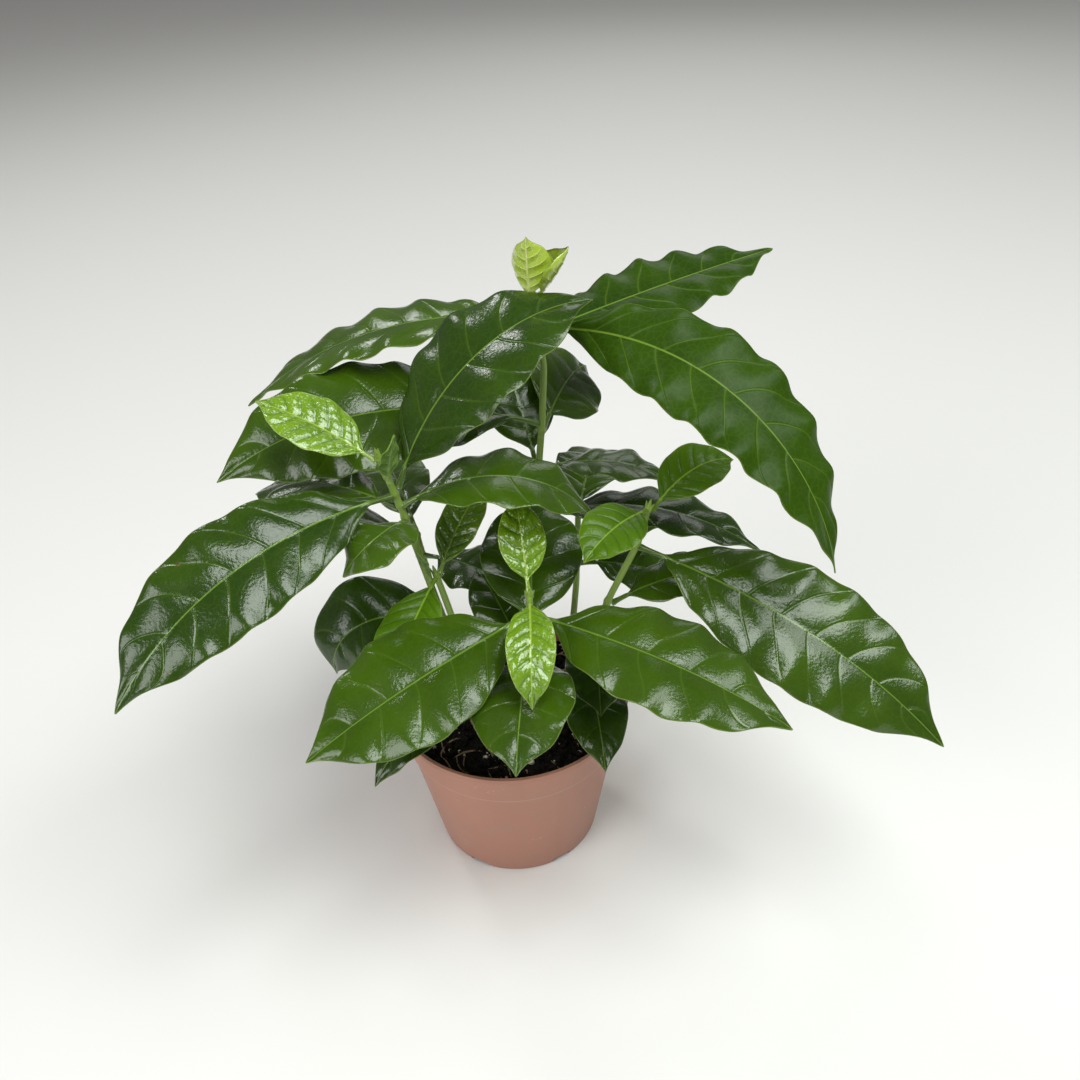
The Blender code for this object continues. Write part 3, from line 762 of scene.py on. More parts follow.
# Each stem's course from the soil up, as x, y, z in millimetres
STEMS = {
    "tall": ((8, 28, 78), (16, 35, 150), (24, 40, 222), (26, 42, 250), (22, 45, 284)),
    "left": ((-16, 0, 78), (-28, -6, 140), (-41, -10, 212), (-48, -10, 241)),
    "left_small": ((-14, -14, 78), (-20, -15, 130), (-27, -13, 165), (-30, -12, 179)),
    "front": ((8, -30, 78), (10, -36, 130), (11, -40, 184)),
    "right": ((24, -4, 78), (50, -10, 156), (62, -10, 184), (67, -10, 205)),
    "back": ((32, 24, 78), (38, 34, 130), (40, 38, 172)),
    "back_left": ((-26, 30, 78), (-36, 42, 120), (-42, 48, 162)),
}

# Leaves: name, stem, height, heading, rise, droop, turn, roll, twist, length, width, stalk
OLD_LEAVES = (
    Leaf("leaf_tall_1_right", "tall", 268, -38, 14, 90, -11, 50, -60, 175, 48, 10),
    Leaf("leaf_tall_2_back", "tall", 266, 26, 6, 5, 0, 14, -5, 127, 44, 5),
)

MATURE_LEAVES = (
    Leaf("leaf_tall_1_left", "tall", 274, 162, -1, 41, 17, -10, 12, 142, 44, 9),
    Leaf("leaf_tall_3_left", "tall", 222, 188, 24, 58, 6, -8, -33, 144, 60, 10),
    Leaf("leaf_tall_3_right", "tall", 218, 66, 20, 45, 0, 40, 0, 60, 44, 8),
    Leaf("leaf_tall_5_back", "tall", 198, 106, 55, 50, 0, 0, 0, 62, 38, 7),
    Leaf("leaf_tall_4_right", "tall", 199, -16, 20, 46, -4, -12, 0, 55, 40, 7),
    Leaf("leaf_tall_4_left", "tall", 200, 178, 5, 42, 0, 0, 0, 40, 24, 6),
    Leaf("leaf_tall_6_right", "tall", 173, -20, 24, 52, -12, -5, 0, 106, 38, 8),
    Leaf("leaf_left_1_right", "left", 224, 22, 66, 76, 1, 10, 1, 116, 58, 7),
    Leaf("leaf_left_1_left", "left", 221, 213, 8, 58, 5, -26, -3, 137, 49, 8),
    Leaf("leaf_left_2_right", "left", 215, -3, 32, 92, -3, 0, 3, 88, 42, 4),
    Leaf("leaf_left_2_left", "left", 214, 150, 11, 50, -2, 0, 0, 78, 36, 7),
    Leaf("leaf_left_4_left", "left", 134, 150, 20, 50, 4, -8, -6, 44, 34, 6),
    Leaf("leaf_left_5_left", "left", 140, 186, 48, 150, 10, -20, -14, 68, 48, 6),
    Leaf("leaf_left_3_left", "left", 208, 262, 36, 96, -64, 4, 0, 42, 34, 5),
    Leaf("leaf_front_1_left", "front", 173, 211, -5, 24, -9, -15, 0, 104, 57, 7),
    Leaf("leaf_front_1_right", "front", 173, -35, 4, 36, 12, 9, -7, 113, 53, 7),
    Leaf("leaf_front_2_back", "front", 158, 83, 40, 45, 5, 0, 0, 70, 48, 6),
    Leaf("leaf_front_2_front", "front", 152, -99, 22, 62, 0, 6, 4, 65, 45, 6),
    Leaf("leaf_front_3_back", "front", 136, 112, 34, 36, 0, 0, 0, 55, 28, 6),
    Leaf("leaf_left_small_1_left", "left_small", 104, 226, 30, 80, 0, 0, 0, 66, 26, 6),
    Leaf("leaf_right_1_right", "right", 184, -30, -10, 32, -4, 16, 21, 151, 58, 8),
    Leaf("leaf_right_2_right", "right", 152, 6, 26, 50, 0, 3, 0, 64, 31, 6),
    Leaf("leaf_right_3_front", "right", 136, -97, 22, 62, 5, 0, 0, 50, 30, 6),
    Leaf("leaf_right_4_front", "right", 112, -84, 28, 85, -4, -2, 0, 62, 30, 6),
    Leaf("leaf_right_4_right", "right", 118, -22, 10, 75, -2, 0, 0, 46, 28, 6),
    Leaf("leaf_back_1_back", "back", 170, 75, 15, 60, 0, 0, 0, 80, 38, 7),
    Leaf("leaf_back_2_right", "back", 152, 20, 25, 70, 0, 0, 0, 70, 34, 7),
    Leaf("leaf_back_3_right", "back", 142, -12, 6, 40, 0, 0, 0, 50, 38, 7),
    Leaf("leaf_back_left_1_back", "back_left", 160, 105, 18, 60, 0, 0, 0, 85, 38, 7),
    Leaf("leaf_back_left_1_left", "back_left", 158, 180, 32, 62, 0, 0, 0, 82, 38, 7),
    Leaf("leaf_back_left_2_right", "back_left", 146, -34, 12, 34, 0, 0, 0, 46, 36, 7),
)

GROWING_LEAVES = (
    Leaf("young_left_right", "left", 230, 285, 72, 0, 60, 0, 0, 24, 11, 2),
    Leaf("young_left_small_tip", "left_small", 178, 215, 78, 10, 0, 0, 0, 15, 9, 2),
    Leaf("young_left_small_left", "left_small", 176, 245, -12, 30, 0, -4, 0, 60, 28, 3),
    Leaf("young_right_left", "right", 203, 224, 16, 48, 0, -12, -3, 42, 27, 2),
    Leaf("young_right_right", "right", 203, 24, 48, 77, 1, 11, 7, 44, 27, 4),
)

YOUNG_LEAVES = (
    Leaf("young_left_left", "left", 239, 160, 33, 22, 0, -11, -6, 51, 29, 4),
    Leaf("young_left_small_right", "left_small", 177, 53, 49, 40, 3, 3, 3, 45, 21, 3),
    Leaf("young_front_back", "front", 184, 94, 55, 29, 2, 0, 0, 38, 21, 4),
    Leaf("young_front_front", "front", 183, -92, 12, 90, -4, 0, 0, 51, 21, 3),
)

ROLLED_LEAVES = (
    Leaf("young_tall_front", "tall", 283, 250, 84, -6, 0, 0, 0, 27, 24, 1),
    Leaf("young_tall_back", "tall", 283, 0, 44, -30, 0, 0, 0, 24, 26, 1),
)

ALL_LEAVES = OLD_LEAVES + MATURE_LEAVES + GROWING_LEAVES + YOUNG_LEAVES + ROLLED_LEAVES


@dataclass
class Blade:
    """One leaf as a closed skin: a round stalk that spreads into a folded, curled, waved, quilted blade."""

    HALF_COLUMNS: ClassVar[int] = 17
    MIDRIB_STEPS: ClassVar[int] = 160
    OUTLINE_SKEW: ClassVar[float] = 0.93
    OUTLINE_FULLNESS: ClassVar[float] = 0.78
    TIP_START: ClassVar[float] = 0.80
    TIP_NARROWING: ClassVar[float] = 0.60
    BASE_END: ClassVar[float] = 0.16
    BASE_NARROWING: ClassVar[float] = 0.45
    DROOP_GROWTH: ClassVar[float] = 1.3
    WAVE_GROWTH: ClassVar[float] = 1.6
    RIGHT_SIDE_PHASE: ClassVar[float] = 0.37
    STALK_FLARE: ClassVar[float] = 1.15
    ROOT_IN_STEM: ClassVar[float] = 1.4 * MM
    BLEND_END: ClassVar[float] = 0.05
    RIM_START: ClassVar[float] = 0.985
    FEWEST_VEINS: ClassVar[int] = 5
    FEWEST_WAVES: ClassVar[int] = 3
    FEWEST_ROWS: ClassVar[int] = 44
    MOST_ROWS: ClassVar[int] = 124
    STALK_ROWS: ClassVar[int] = 6
    LAST_ROW: ClassVar[float] = 0.998
    END_CROWDING: ClassVar[float] = 0.25
    COLUMN_CROWDING: ClassVar[float] = 1.3
    SWAY_CELL: ClassVar[float] = 15 * MM
    SWAY: ClassVar[float] = 0.14
    SWELL_CELL: ClassVar[float] = 21 * MM
    FULL_SWELL_LENGTH: ClassVar[float] = 0.15
    RIPPLE: ClassVar[float] = 0.12
    TOP_INSET: ClassVar[float] = 0.35
    RIM_DEPTH: ClassVar[float] = 0.65
    FOOT_FLARE: ClassVar[float] = 0.2
    STALK_CROWN: ClassVar[float] = 0.85

    leaf: Leaf
    kind: LeafKind
    phase: float
    seed: int

    def half_width(self, along: Array) -> Array:
        """Half the blade's width at shares of its length: a power of a sine, narrowed into a drip tip."""
        full = np.sin(np.pi * along**self.OUTLINE_SKEW) ** self.OUTLINE_FULLNESS
        tip = 1.0 - self.TIP_NARROWING * smooth_step((along - self.TIP_START) / (1.0 - self.TIP_START))
        base = 1.0 - self.BASE_NARROWING * (1.0 - smooth_step(along / self.BASE_END))
        return self.leaf.width * MM / 2.0 * full * tip * base

    def foot(self) -> Array:
        """Where the stalk starts: just clear of the CAD stem, on the side that the leaf leaves from."""
        leaf = self.leaf
        heading, rise = math.radians(leaf.heading), math.radians(leaf.rise)
        level = np.array([math.cos(heading), math.sin(heading), 0.0])
        leaving = level * math.cos(rise) + np.array([0.0, 0.0, math.sin(rise)])
        height = leaf.height * MM
        node = stem_at(leaf.stem, height)
        axis = unit(node - stem_at(leaf.stem, height - NODE_SPACING))
        outward = unit(level - axis * level.dot(axis))
        end_tilt = math.sqrt(1.0 - min(1.0, leaving.dot(outward)) ** 2)
        return node + outward * (STEM_RADIUS + GAP + self.kind.stalk_radius * self.STALK_FLARE * end_tilt)

    def midrib(self, along: Array) -> tuple[Array, Array, Array, Array]:
        """The midrib's course: its slope falls and its heading swings from the stem to the tip.

        Args:
            along: Shares from 0 at the stem to 1 at the tip, over stalk and blade together.

        Returns:
            The points there and the forward, left and upper directions.
        """
        leaf = self.leaf
        fine = np.linspace(0.0, 1.0, self.MIDRIB_STEPS + 1)
        heading = np.radians(leaf.heading + leaf.turn * fine)
        slope = np.radians(leaf.rise - leaf.droop * fine**self.DROOP_GROWTH)
        forward = np.stack(
            [np.cos(slope) * np.cos(heading), np.cos(slope) * np.sin(heading), np.sin(slope)], axis=1
        )
        step = (leaf.length + leaf.stalk) * MM / self.MIDRIB_STEPS
        course = np.cumsum((forward[1:] + forward[:-1]) / 2.0 * step, axis=0)
        course = np.vstack([np.zeros(3), course]) + self.foot()
        points = np.stack([np.interp(along, fine, course[:, axis]) for axis in range(3)], axis=1)
        ahead = unit(np.stack([np.interp(along, fine, forward[:, axis]) for axis in range(3)], axis=1))
        turned_to = np.radians(leaf.heading + leaf.turn * along)
        level = np.stack([-np.sin(turned_to), np.cos(turned_to), np.zeros_like(along)], axis=1)
        above = np.cross(ahead, level)
        roll = np.radians(leaf.roll + leaf.twist * along)[:, None]
        left = level * np.cos(roll) + above * np.sin(roll)
        return points, ahead, left, above * np.cos(roll) - level * np.sin(roll)

    def vein_phase(self, along: Array, across: Array) -> Array:
        """A value that is whole along each lateral vein: veins times (along less a lead that grows outward).

        Args:
            along: Shares of the blade's length, one a row.
            across: Places from -1 at the right margin to 1 at the left one, one a column.

        Returns:
            The values, rows by columns.
        """
        veins = max(self.FEWEST_VEINS, round(self.leaf.length * MM / self.kind.vein_spacing))
        reach = np.abs(across)[None, :]
        lean = self.kind.vein_lead * reach**1.4
        length = self.leaf.length * MM
        half = self.half_width(along)[:, None]
        sway = lattice_noise(along[:, None] * length, across[None, :] * half, self.SWAY_CELL, self.seed)
        side = np.where(across > 0.0, 0.0, 0.2)[None, :]
        return veins * (along[:, None] - lean) + side + self.phase + self.SWAY * sway * reach

    def relief(self, along: Array, across: Array) -> Array:
        """How far the blade's skin stands off its smooth form.

        Pillows rise between the lateral veins as the size of a sine of the vein phase, crossed in a young
        leaf by smaller ones laid like bricks. A slow swell makes each half uneven, and the midrib stands up.

        Args:
            along: Shares of the blade's length, one a row.
            across: Places from -1 to 1, one a column.

        Returns:
            Heights in metres, rows by columns.
        """
        kind, reach = self.kind, np.abs(across)[None, :]
        length, half = self.leaf.length * MM, self.half_width(along)[:, None]
        phase = self.vein_phase(along, across)
        inward = smooth_step(reach / 0.14) * (1.0 - smooth_step((reach - 0.74) / 0.25))
        middle = smooth_step(along / 0.08)[:, None] * smooth_step((1.0 - along) / 0.10)[:, None]
        pillows = np.abs(np.sin(np.pi * phase)) ** 0.75 - 0.62
        courses = reach * half / (0.55 * kind.vein_spacing) + 0.5 * (np.floor(phase) % 2)
        bricks = np.abs(np.sin(np.pi * courses)) ** 0.8 * np.abs(np.sin(np.pi * phase)) ** 0.5 - 0.5
        swell = lattice_noise(
            along[:, None] * length, across[None, :] * half, self.SWELL_CELL, self.seed + 1
        )
        rib_half = (0.75 - 0.45 * along)[:, None] * MM
        rib = np.exp(-((reach * half / rib_half) ** 2)) * (0.30 - 0.2 * along)[:, None] * MM
        quilting = (kind.quilt * pillows + kind.brick * bricks) * inward * middle
        swelling = kind.swell * swell * reach**0.8 * middle * (length / self.FULL_SWELL_LENGTH)
        return quilting + swelling + rib

    def blade(self, along: Array, across: Array) -> tuple[Array, Array]:
        """The blade's upper and lower faces.

        Each half is an arc that starts at the fold angle and curls down outward. The margin waves as a sine
        that grows with a power of the distance from the midrib, with a faint quicker ripple on it. At the rim
        the two faces draw together.

        Args:
            along: Shares of the blade's length, one a row.
            across: Places from -1 to 1, one a column.

        Returns:
            The points of both faces, rows by columns.
        """
        leaf, kind = self.leaf, self.kind
        whole = leaf.length + leaf.stalk
        points, _, left, upper = self.midrib((leaf.stalk + along * leaf.length) / whole)
        half = self.half_width(along)[:, None]
        fold, curl, reach = math.radians(kind.fold), math.radians(kind.curl), np.abs(across)
        sideways = np.sign(across) * (math.sin(fold) - np.sin(fold - curl * reach)) / curl
        lift = (np.cos(fold - curl * reach) - math.cos(fold)) / curl
        waves = max(self.FEWEST_WAVES, round(leaf.length / kind.wave_length))
        shift = self.phase + np.where(across > 0.0, 0.0, self.RIGHT_SIDE_PHASE)
        beat = np.sin(2.0 * np.pi * (waves * along[:, None] + shift[None, :]))
        ripple = np.sin(2.0 * np.pi * (2.3 * waves * along[:, None] + 1.7 * shift[None, :]))
        fade = np.sqrt(np.sin(np.pi * along))[:, None] * reach[None, :] ** self.WAVE_GROWTH
        height = half * lift[None, :] + kind.wave * fade * (beat + self.RIPPLE * ripple * reach[None, :])
        height = height + self.relief(along, across)
        surface = points[:, None] + (half * sideways[None, :])[..., None] * left[:, None]
        rim = reach == 1.0
        top_inset = np.where(rim, self.TOP_INSET, 0.0) * kind.thickness
        keel_half = (1.0 - 0.6 * along)[:, None] * MM
        keel = kind.keel * np.exp(-((reach * half / keel_half) ** 2)) * (1.0 - 0.85 * along)[:, None]
        depth = np.where(rim, self.RIM_DEPTH, 1.0) * kind.thickness + keel
        above = surface + (height - top_inset)[..., None] * upper[:, None]
        below = surface + (height - depth)[..., None] * upper[:, None]
        return above, below

    def stalk(self, place: Array, across: Array) -> tuple[Array, Array]:
        """Round sections at shares of the whole leaf, as upper and lower points like the blade's."""
        points, _, left, upper = self.midrib(place)
        share = self.leaf.stalk / (self.leaf.length + self.leaf.stalk)
        flare = 1.0 + (self.STALK_FLARE + self.FOOT_FLARE - 1.0) * np.clip(1.0 - place / share, 0.0, 1.0) ** 3
        radius = (self.kind.stalk_radius * flare)[:, None, None]
        turn = np.radians(90.0 - 85.0 * np.sign(across) * np.abs(across) ** 0.7)
        sideways = np.cos(turn)[None, :, None] * left[:, None]
        height = np.sin(turn)[None, :, None] * upper[:, None]
        above = points[:, None] + radius * (sideways + self.STALK_CROWN * height)
        return above, points[:, None] + radius * (sideways - height)

    def draft(self) -> Draft:
        """Stalk rings, then blade rings that grow out of the stalk's round section."""
        leaf = self.leaf
        inner = np.linspace(0.0, 1.0, self.HALF_COLUMNS) ** self.COLUMN_CROWDING * self.RIM_START
        half_row = np.append(inner, 1.0)
        across = np.concatenate([-half_row[:0:-1], half_row])
        rows = int(np.clip(leaf.length * MM / self.kind.row_spacing, self.FEWEST_ROWS, self.MOST_ROWS))
        even = np.linspace(0.0, 1.0, rows)
        crowded = (1.0 - self.END_CROWDING) * even + self.END_CROWDING * (1.0 - np.cos(np.pi * even)) / 2.0
        along = self.LAST_ROW * crowded
        stalk_share = leaf.stalk / (leaf.length + leaf.stalk)
        bare = np.linspace(0.0, stalk_share, self.STALK_ROWS)[:-1]
        place = np.concatenate([bare, stalk_share + along * (1.0 - stalk_share)])
        on_blade = np.concatenate([np.zeros(len(bare)), along])
        spread = smooth_step(on_blade / self.BLEND_END)[:, None, None]
        blade_top, blade_low = self.blade(on_blade, across)
        stalk_top, stalk_low = self.stalk(place, across)
        top = stalk_top * (1.0 - spread) + blade_top * spread
        low = stalk_low * (1.0 - spread) + blade_low * spread
        rings = np.concatenate([top, low[:, ::-1]], axis=1)
        ahead = self.midrib(np.zeros(1))[1]
        rings = np.concatenate([rings[:1] - self.ROOT_IN_STEM * ahead[:, None], rings])
        marks = self.marks(np.append(0.0, on_blade), across, np.append(0.0, spread.ravel()))
        draft = Draft.skin(rings, marks)
        columns = len(across)
        spot = np.tile(np.arange(2 * columns), len(rings) - 1)
        draft.quad_finish = ((spot >= columns) & (spot < 2 * columns - 1)).astype(int)
        return draft

    def marks(self, along: Array, across: Array, spread: Array) -> dict[str, Array]:
        """The values that the finishes read, for upper points right to left and lower ones back.

        Args:
            along: Shares of the blade's length, 0 on the stalk.
            across: Places from -1 to 1.
            spread: How far each ring has grown from the stalk's section to the blade's.

        Returns:
            Marks by name: vein is whole on a lateral vein, rib is 1 at the midrib's sides, reach is the
            share of the way from midrib to margin, edge_mm the distance from the margin and tone how fresh
            the green is.
        """
        reach = np.abs(across)[None, :]
        half = self.half_width(along)[:, None]
        rib_half = (0.72 - 0.47 * along)[:, None] * MM
        mood = np.random.default_rng(self.seed).uniform(0.15, 0.75)
        values = {
            "vein": self.vein_phase(along, across),
            "rib": np.maximum(reach * half / rib_half * spread[:, None], 0.72 * (1.0 - spread[:, None])),
            "reach": reach * np.ones_like(half),
            "edge_mm": (1.0 - reach) * half / MM + 4.0 * (1.0 - spread[:, None]),
            "tone": mood + 0.18 * (reach - 0.5) * np.ones_like(half),
        }
        return {name: np.concatenate([value, value[:, ::-1]], axis=1) for name, value in values.items()}


def stem_points(stem: str) -> Array:
    """A stem's course in metres, with its straight root end in the soil first."""
    course = np.array(STEMS[stem], float) * MM
    down = unit(course[0] - course[1])
    return np.vstack([course[0] + down * STEM_DEPTH, course])


def stem_at(stem: str, height: float) -> Array:
    """The point on a stem's axis at a height in metres, or the stem's end where it is higher."""
    course = stem_points(stem)
    return np.array([np.interp(height, course[:, 2], course[:, axis]) for axis in range(3)])


@dataclass
class Stem:
    """One young stem: an eased tube with swollen nodes, a pointed end bud and small stipules."""

    STEP: ClassVar[float] = 0.9 * MM
    SIDES: ClassVar[int] = 18
    EASING: ClassVar[int] = 9
    BUD_LENGTH: ClassVar[float] = 3.5 * MM
    NODE_SWELL: ClassVar[float] = 0.45 * MM
    NODE_REACH: ClassVar[float] = 1.5 * MM
    SCAR_DEPTH: ClassVar[float] = 0.12 * MM
    SCAR_BELOW: ClassVar[float] = 1.6 * MM
    SCAR_REACH: ClassVar[float] = 0.5 * MM
    BUD_START: ClassVar[float] = 2.2
    BUD_POINT: ClassVar[float] = 0.12
    STIPULE_LENGTH: ClassVar[float] = 4.0 * MM

    name: str
    thick: float = 1.95 * MM
    thin: float = 1.45 * MM

    def course(self) -> Array:
        """The axis: the CAD course cut into even steps, each point then averaged with its neighbours."""
        corners = stem_points(self.name)
        up = unit(corners[-1] - corners[-2])
        corners = np.vstack([corners, corners[-1] + up * self.BUD_LENGTH])
        run = np.concatenate([[0.0], np.cumsum(np.linalg.norm(np.diff(corners, axis=0), axis=1))])
        spots = np.linspace(0.0, run[-1], int(run[-1] / self.STEP))
        line = np.stack([np.interp(spots, run, corners[:, axis]) for axis in range(3)], axis=1)
        edge = self.EASING // 2
        before = 2 * line[:1] - line[edge:0:-1]
        after = 2 * line[-1:] - line[-2 : -edge - 2 : -1]
        padded = np.concatenate([before, line, after])
        window = np.ones(self.EASING) / self.EASING
        return np.stack([np.convolve(padded[:, axis], window, "valid") for axis in range(3)], axis=1)

    def node_heights(self) -> list[float]:
        """The heights of the nodes in metres, leaves of a pair counted once."""
        heights = sorted({leaf.height * MM for leaf in ALL_LEAVES if leaf.stem == self.name})
        nodes: list[float] = []
        for height in heights:
            if not nodes or height - nodes[-1] > NODE_SPACING:
                nodes.append(height)
        return nodes

    def radii(self, line: Array) -> Array:
        """The radius along the axis: an even taper, a bell at each node, a ring scar and a pointed bud."""
        share = np.linspace(0.0, 1.0, len(line))
        radius = self.thick + (self.thin - self.thick) * share
        for height in self.node_heights():
            off = line[:, 2] - height
            radius = radius + self.NODE_SWELL * np.exp(-((off / self.NODE_REACH) ** 2))
            radius = radius - self.SCAR_DEPTH * np.exp(-(((off + self.SCAR_BELOW) / self.SCAR_REACH) ** 2))
        from_end = np.linalg.norm(line - line[-1], axis=1)
        bud = np.sqrt(np.clip(from_end / (self.BUD_START * self.BUD_LENGTH), 0.0, 1.0))
        return radius * np.maximum(bud, self.BUD_POINT)

    def stipules(self) -> Iterable[Draft]:
        """Two small pointed scales between the leaves of each of the top two nodes."""
        for height in self.node_heights()[-2:]:
            rows = [leaf for leaf in ALL_LEAVES if leaf.stem == self.name]
            nearest = min(rows, key=lambda leaf: abs(leaf.height * MM - height))
            node = stem_at(self.name, height)
            up = unit(node - stem_at(self.name, height - NODE_SPACING))
            for side in (90.0, -90.0):
                angle = math.radians(nearest.heading + side)
                out = np.array([math.cos(angle), math.sin(angle), 0.0])
                t = np.linspace(0.0, 1.0, 9)[:, None]
                lean = out * (0.55 * self.thick + 1.1 * MM * t**1.5)
                centres = node + lean + up * self.STIPULE_LENGTH * t
                radii = 0.75 * MM * (1.0 - t[:, 0]) ** 0.6 + 0.06 * MM
                rings = tube(centres, radii, 10)
                yield Draft.skin(rings, {"age": np.full(rings.shape[:2], 0.1)})

    def build(self, finish: bpy.types.Material) -> None:
        """Make the stem with its stipules as one piece."""
        line = self.course()
        rings = tube(line, self.radii(line), self.SIDES)
        low, high = SOIL_TOP, line[-1, 2]
        age = np.clip(1.0 - (rings[..., 2] - low) / (0.8 * (high - low)), 0.0, 1.0)
        body = Draft.skin(rings, {"age": age})
        whole = Draft.join([body, *self.stipules()])
        piece = whole.to_object(f"twig_{self.name}", [finish])
        dress(piece, "stem", [f"stem_{self.name}"])


@dataclass
class Pot:
    """The nursery pot: a tapered wall under a collar band and a thin lip, with notches round its foot."""

    SIDES: ClassVar[int] = 224
    EASE: ClassVar[float] = 0.25 * MM
    SHARP_ANGLE: ClassVar[float] = 40.0

    finish: PotFinish = field(default_factory=PotFinish)

    @staticmethod
    def wall_radius(height: float) -> float:
        """Outer radius of the tapered wall below the collar, at a height."""
        top_radius = RIM_RADIUS - LIP_REACH - COLLAR_STEP
        return BASE_RADIUS + (top_radius - BASE_RADIUS) * height / (POT_HEIGHT - LIP_HEIGHT)

    @classmethod
    def inner_radius(cls, height: float) -> float:
        """Radius of the hollow at a height, wider inside the collar."""
        widening = COLLAR_STEP if height > POT_HEIGHT - COLLAR_HEIGHT else 0.0
        return cls.wall_radius(height) + widening - WALL

    def profile(self) -> Array:
        """The section from the middle of the floor, up inside, over the lip and down outside."""
        collar_foot = POT_HEIGHT - COLLAR_HEIGHT
        lip_foot = POT_HEIGHT - LIP_HEIGHT
        mouth = POT_HEIGHT - LIP_ROUND
        collar_top = self.wall_radius(lip_foot) + COLLAR_STEP
        corners = [
            (POLE_RADIUS, FLOOR),
            (self.inner_radius(FLOOR), FLOOR),
            (self.inner_radius(collar_foot), collar_foot),
            (self.inner_radius(collar_foot + COLLAR_STEP), collar_foot + COLLAR_STEP),
            (self.inner_radius(mouth), mouth - LIP_ROUND),
            (self.inner_radius(mouth) + 0.4 * LIP_ROUND, POT_HEIGHT),
            (RIM_RADIUS, POT_HEIGHT),
            (RIM_RADIUS, lip_foot),
            (collar_top, lip_foot - LIP_ROUND),
            (self.wall_radius(collar_foot) + COLLAR_STEP, collar_foot),
            (self.wall_radius(collar_foot), collar_foot - 0.2 * MM),
            (self.wall_radius(BASE_ROUND), 1.5 * BASE_ROUND),
            (BASE_RADIUS - BASE_ROUND, 0.0),
            (POLE_RADIUS, 0.0),
        ]
        return rounded(corners, self.EASE)

    @staticmethod
    def notch_box(i: int) -> bpy.types.Object:
        """The box that cuts notch i: a cube stretched, pushed out to the base's edge and turned round Z."""
        angle = math.radians(NOTCH_FIRST_ANGLE + i * 360.0 / NOTCH_COUNT)
        place = Matrix.Rotation(angle, 4, "Z") @ Matrix.Translation((BASE_RADIUS, 0.0, 0.0))
        sizes = Matrix.Diagonal((NOTCH_DEPTH, NOTCH_WIDTH, 2 * NOTCH_HEIGHT, 1.0))
        corners = [(x, y, z) for x in (-0.5, 0.5) for y in (-0.5, 0.5) for z in (-0.5, 0.5)]
        sides = [(0, 1, 3, 2), (4, 6, 7, 5), (0, 4, 5, 1), (2, 3, 7, 6), (0, 2, 6, 4), (1, 5, 7, 3)]
        mesh = bpy.data.meshes.new(f"notch_{i}")
        mesh.from_pydata(corners, [], sides)
        mesh.transform(place @ sizes)
        return bpy.data.objects.new(f"notch_{i}", mesh)

    def cut_notches(self, pot: bpy.types.Object) -> None:
        """Cut the ring of drainage notches from the bottom edge."""
        cutters = bpy.data.collections.new("notch_cutters")
        bpy.context.scene.collection.children.link(cutters)
        for i in range(NOTCH_COUNT):
            cutters.objects.link(self.notch_box(i))
        boolean = pot.modifiers.new("notches", "BOOLEAN")
        boolean.operation = "DIFFERENCE"
        boolean.operand_type = "COLLECTION"
        boolean.collection = cutters
        depsgraph = bpy.context.evaluated_depsgraph_get()
        pot.data = bpy.data.meshes.new_from_object(pot.evaluated_get(depsgraph))
        pot.modifiers.clear()
        for cutter in list(cutters.objects):
            bpy.data.objects.remove(cutter, do_unlink=True)
        bpy.data.collections.remove(cutters)
        pot.data.set_sharp_from_angle(angle=math.radians(self.SHARP_ANGLE))

    def build(self) -> None:
        """Turn the pot, cut its notches and dress it."""
        skin = Draft.skin(turned(self.profile(), self.SIDES))
        pot = skin.to_object("nursery_pot", [self.finish.build()])
        self.cut_notches(pot)
        dress(pot, "pot", ["pot"])


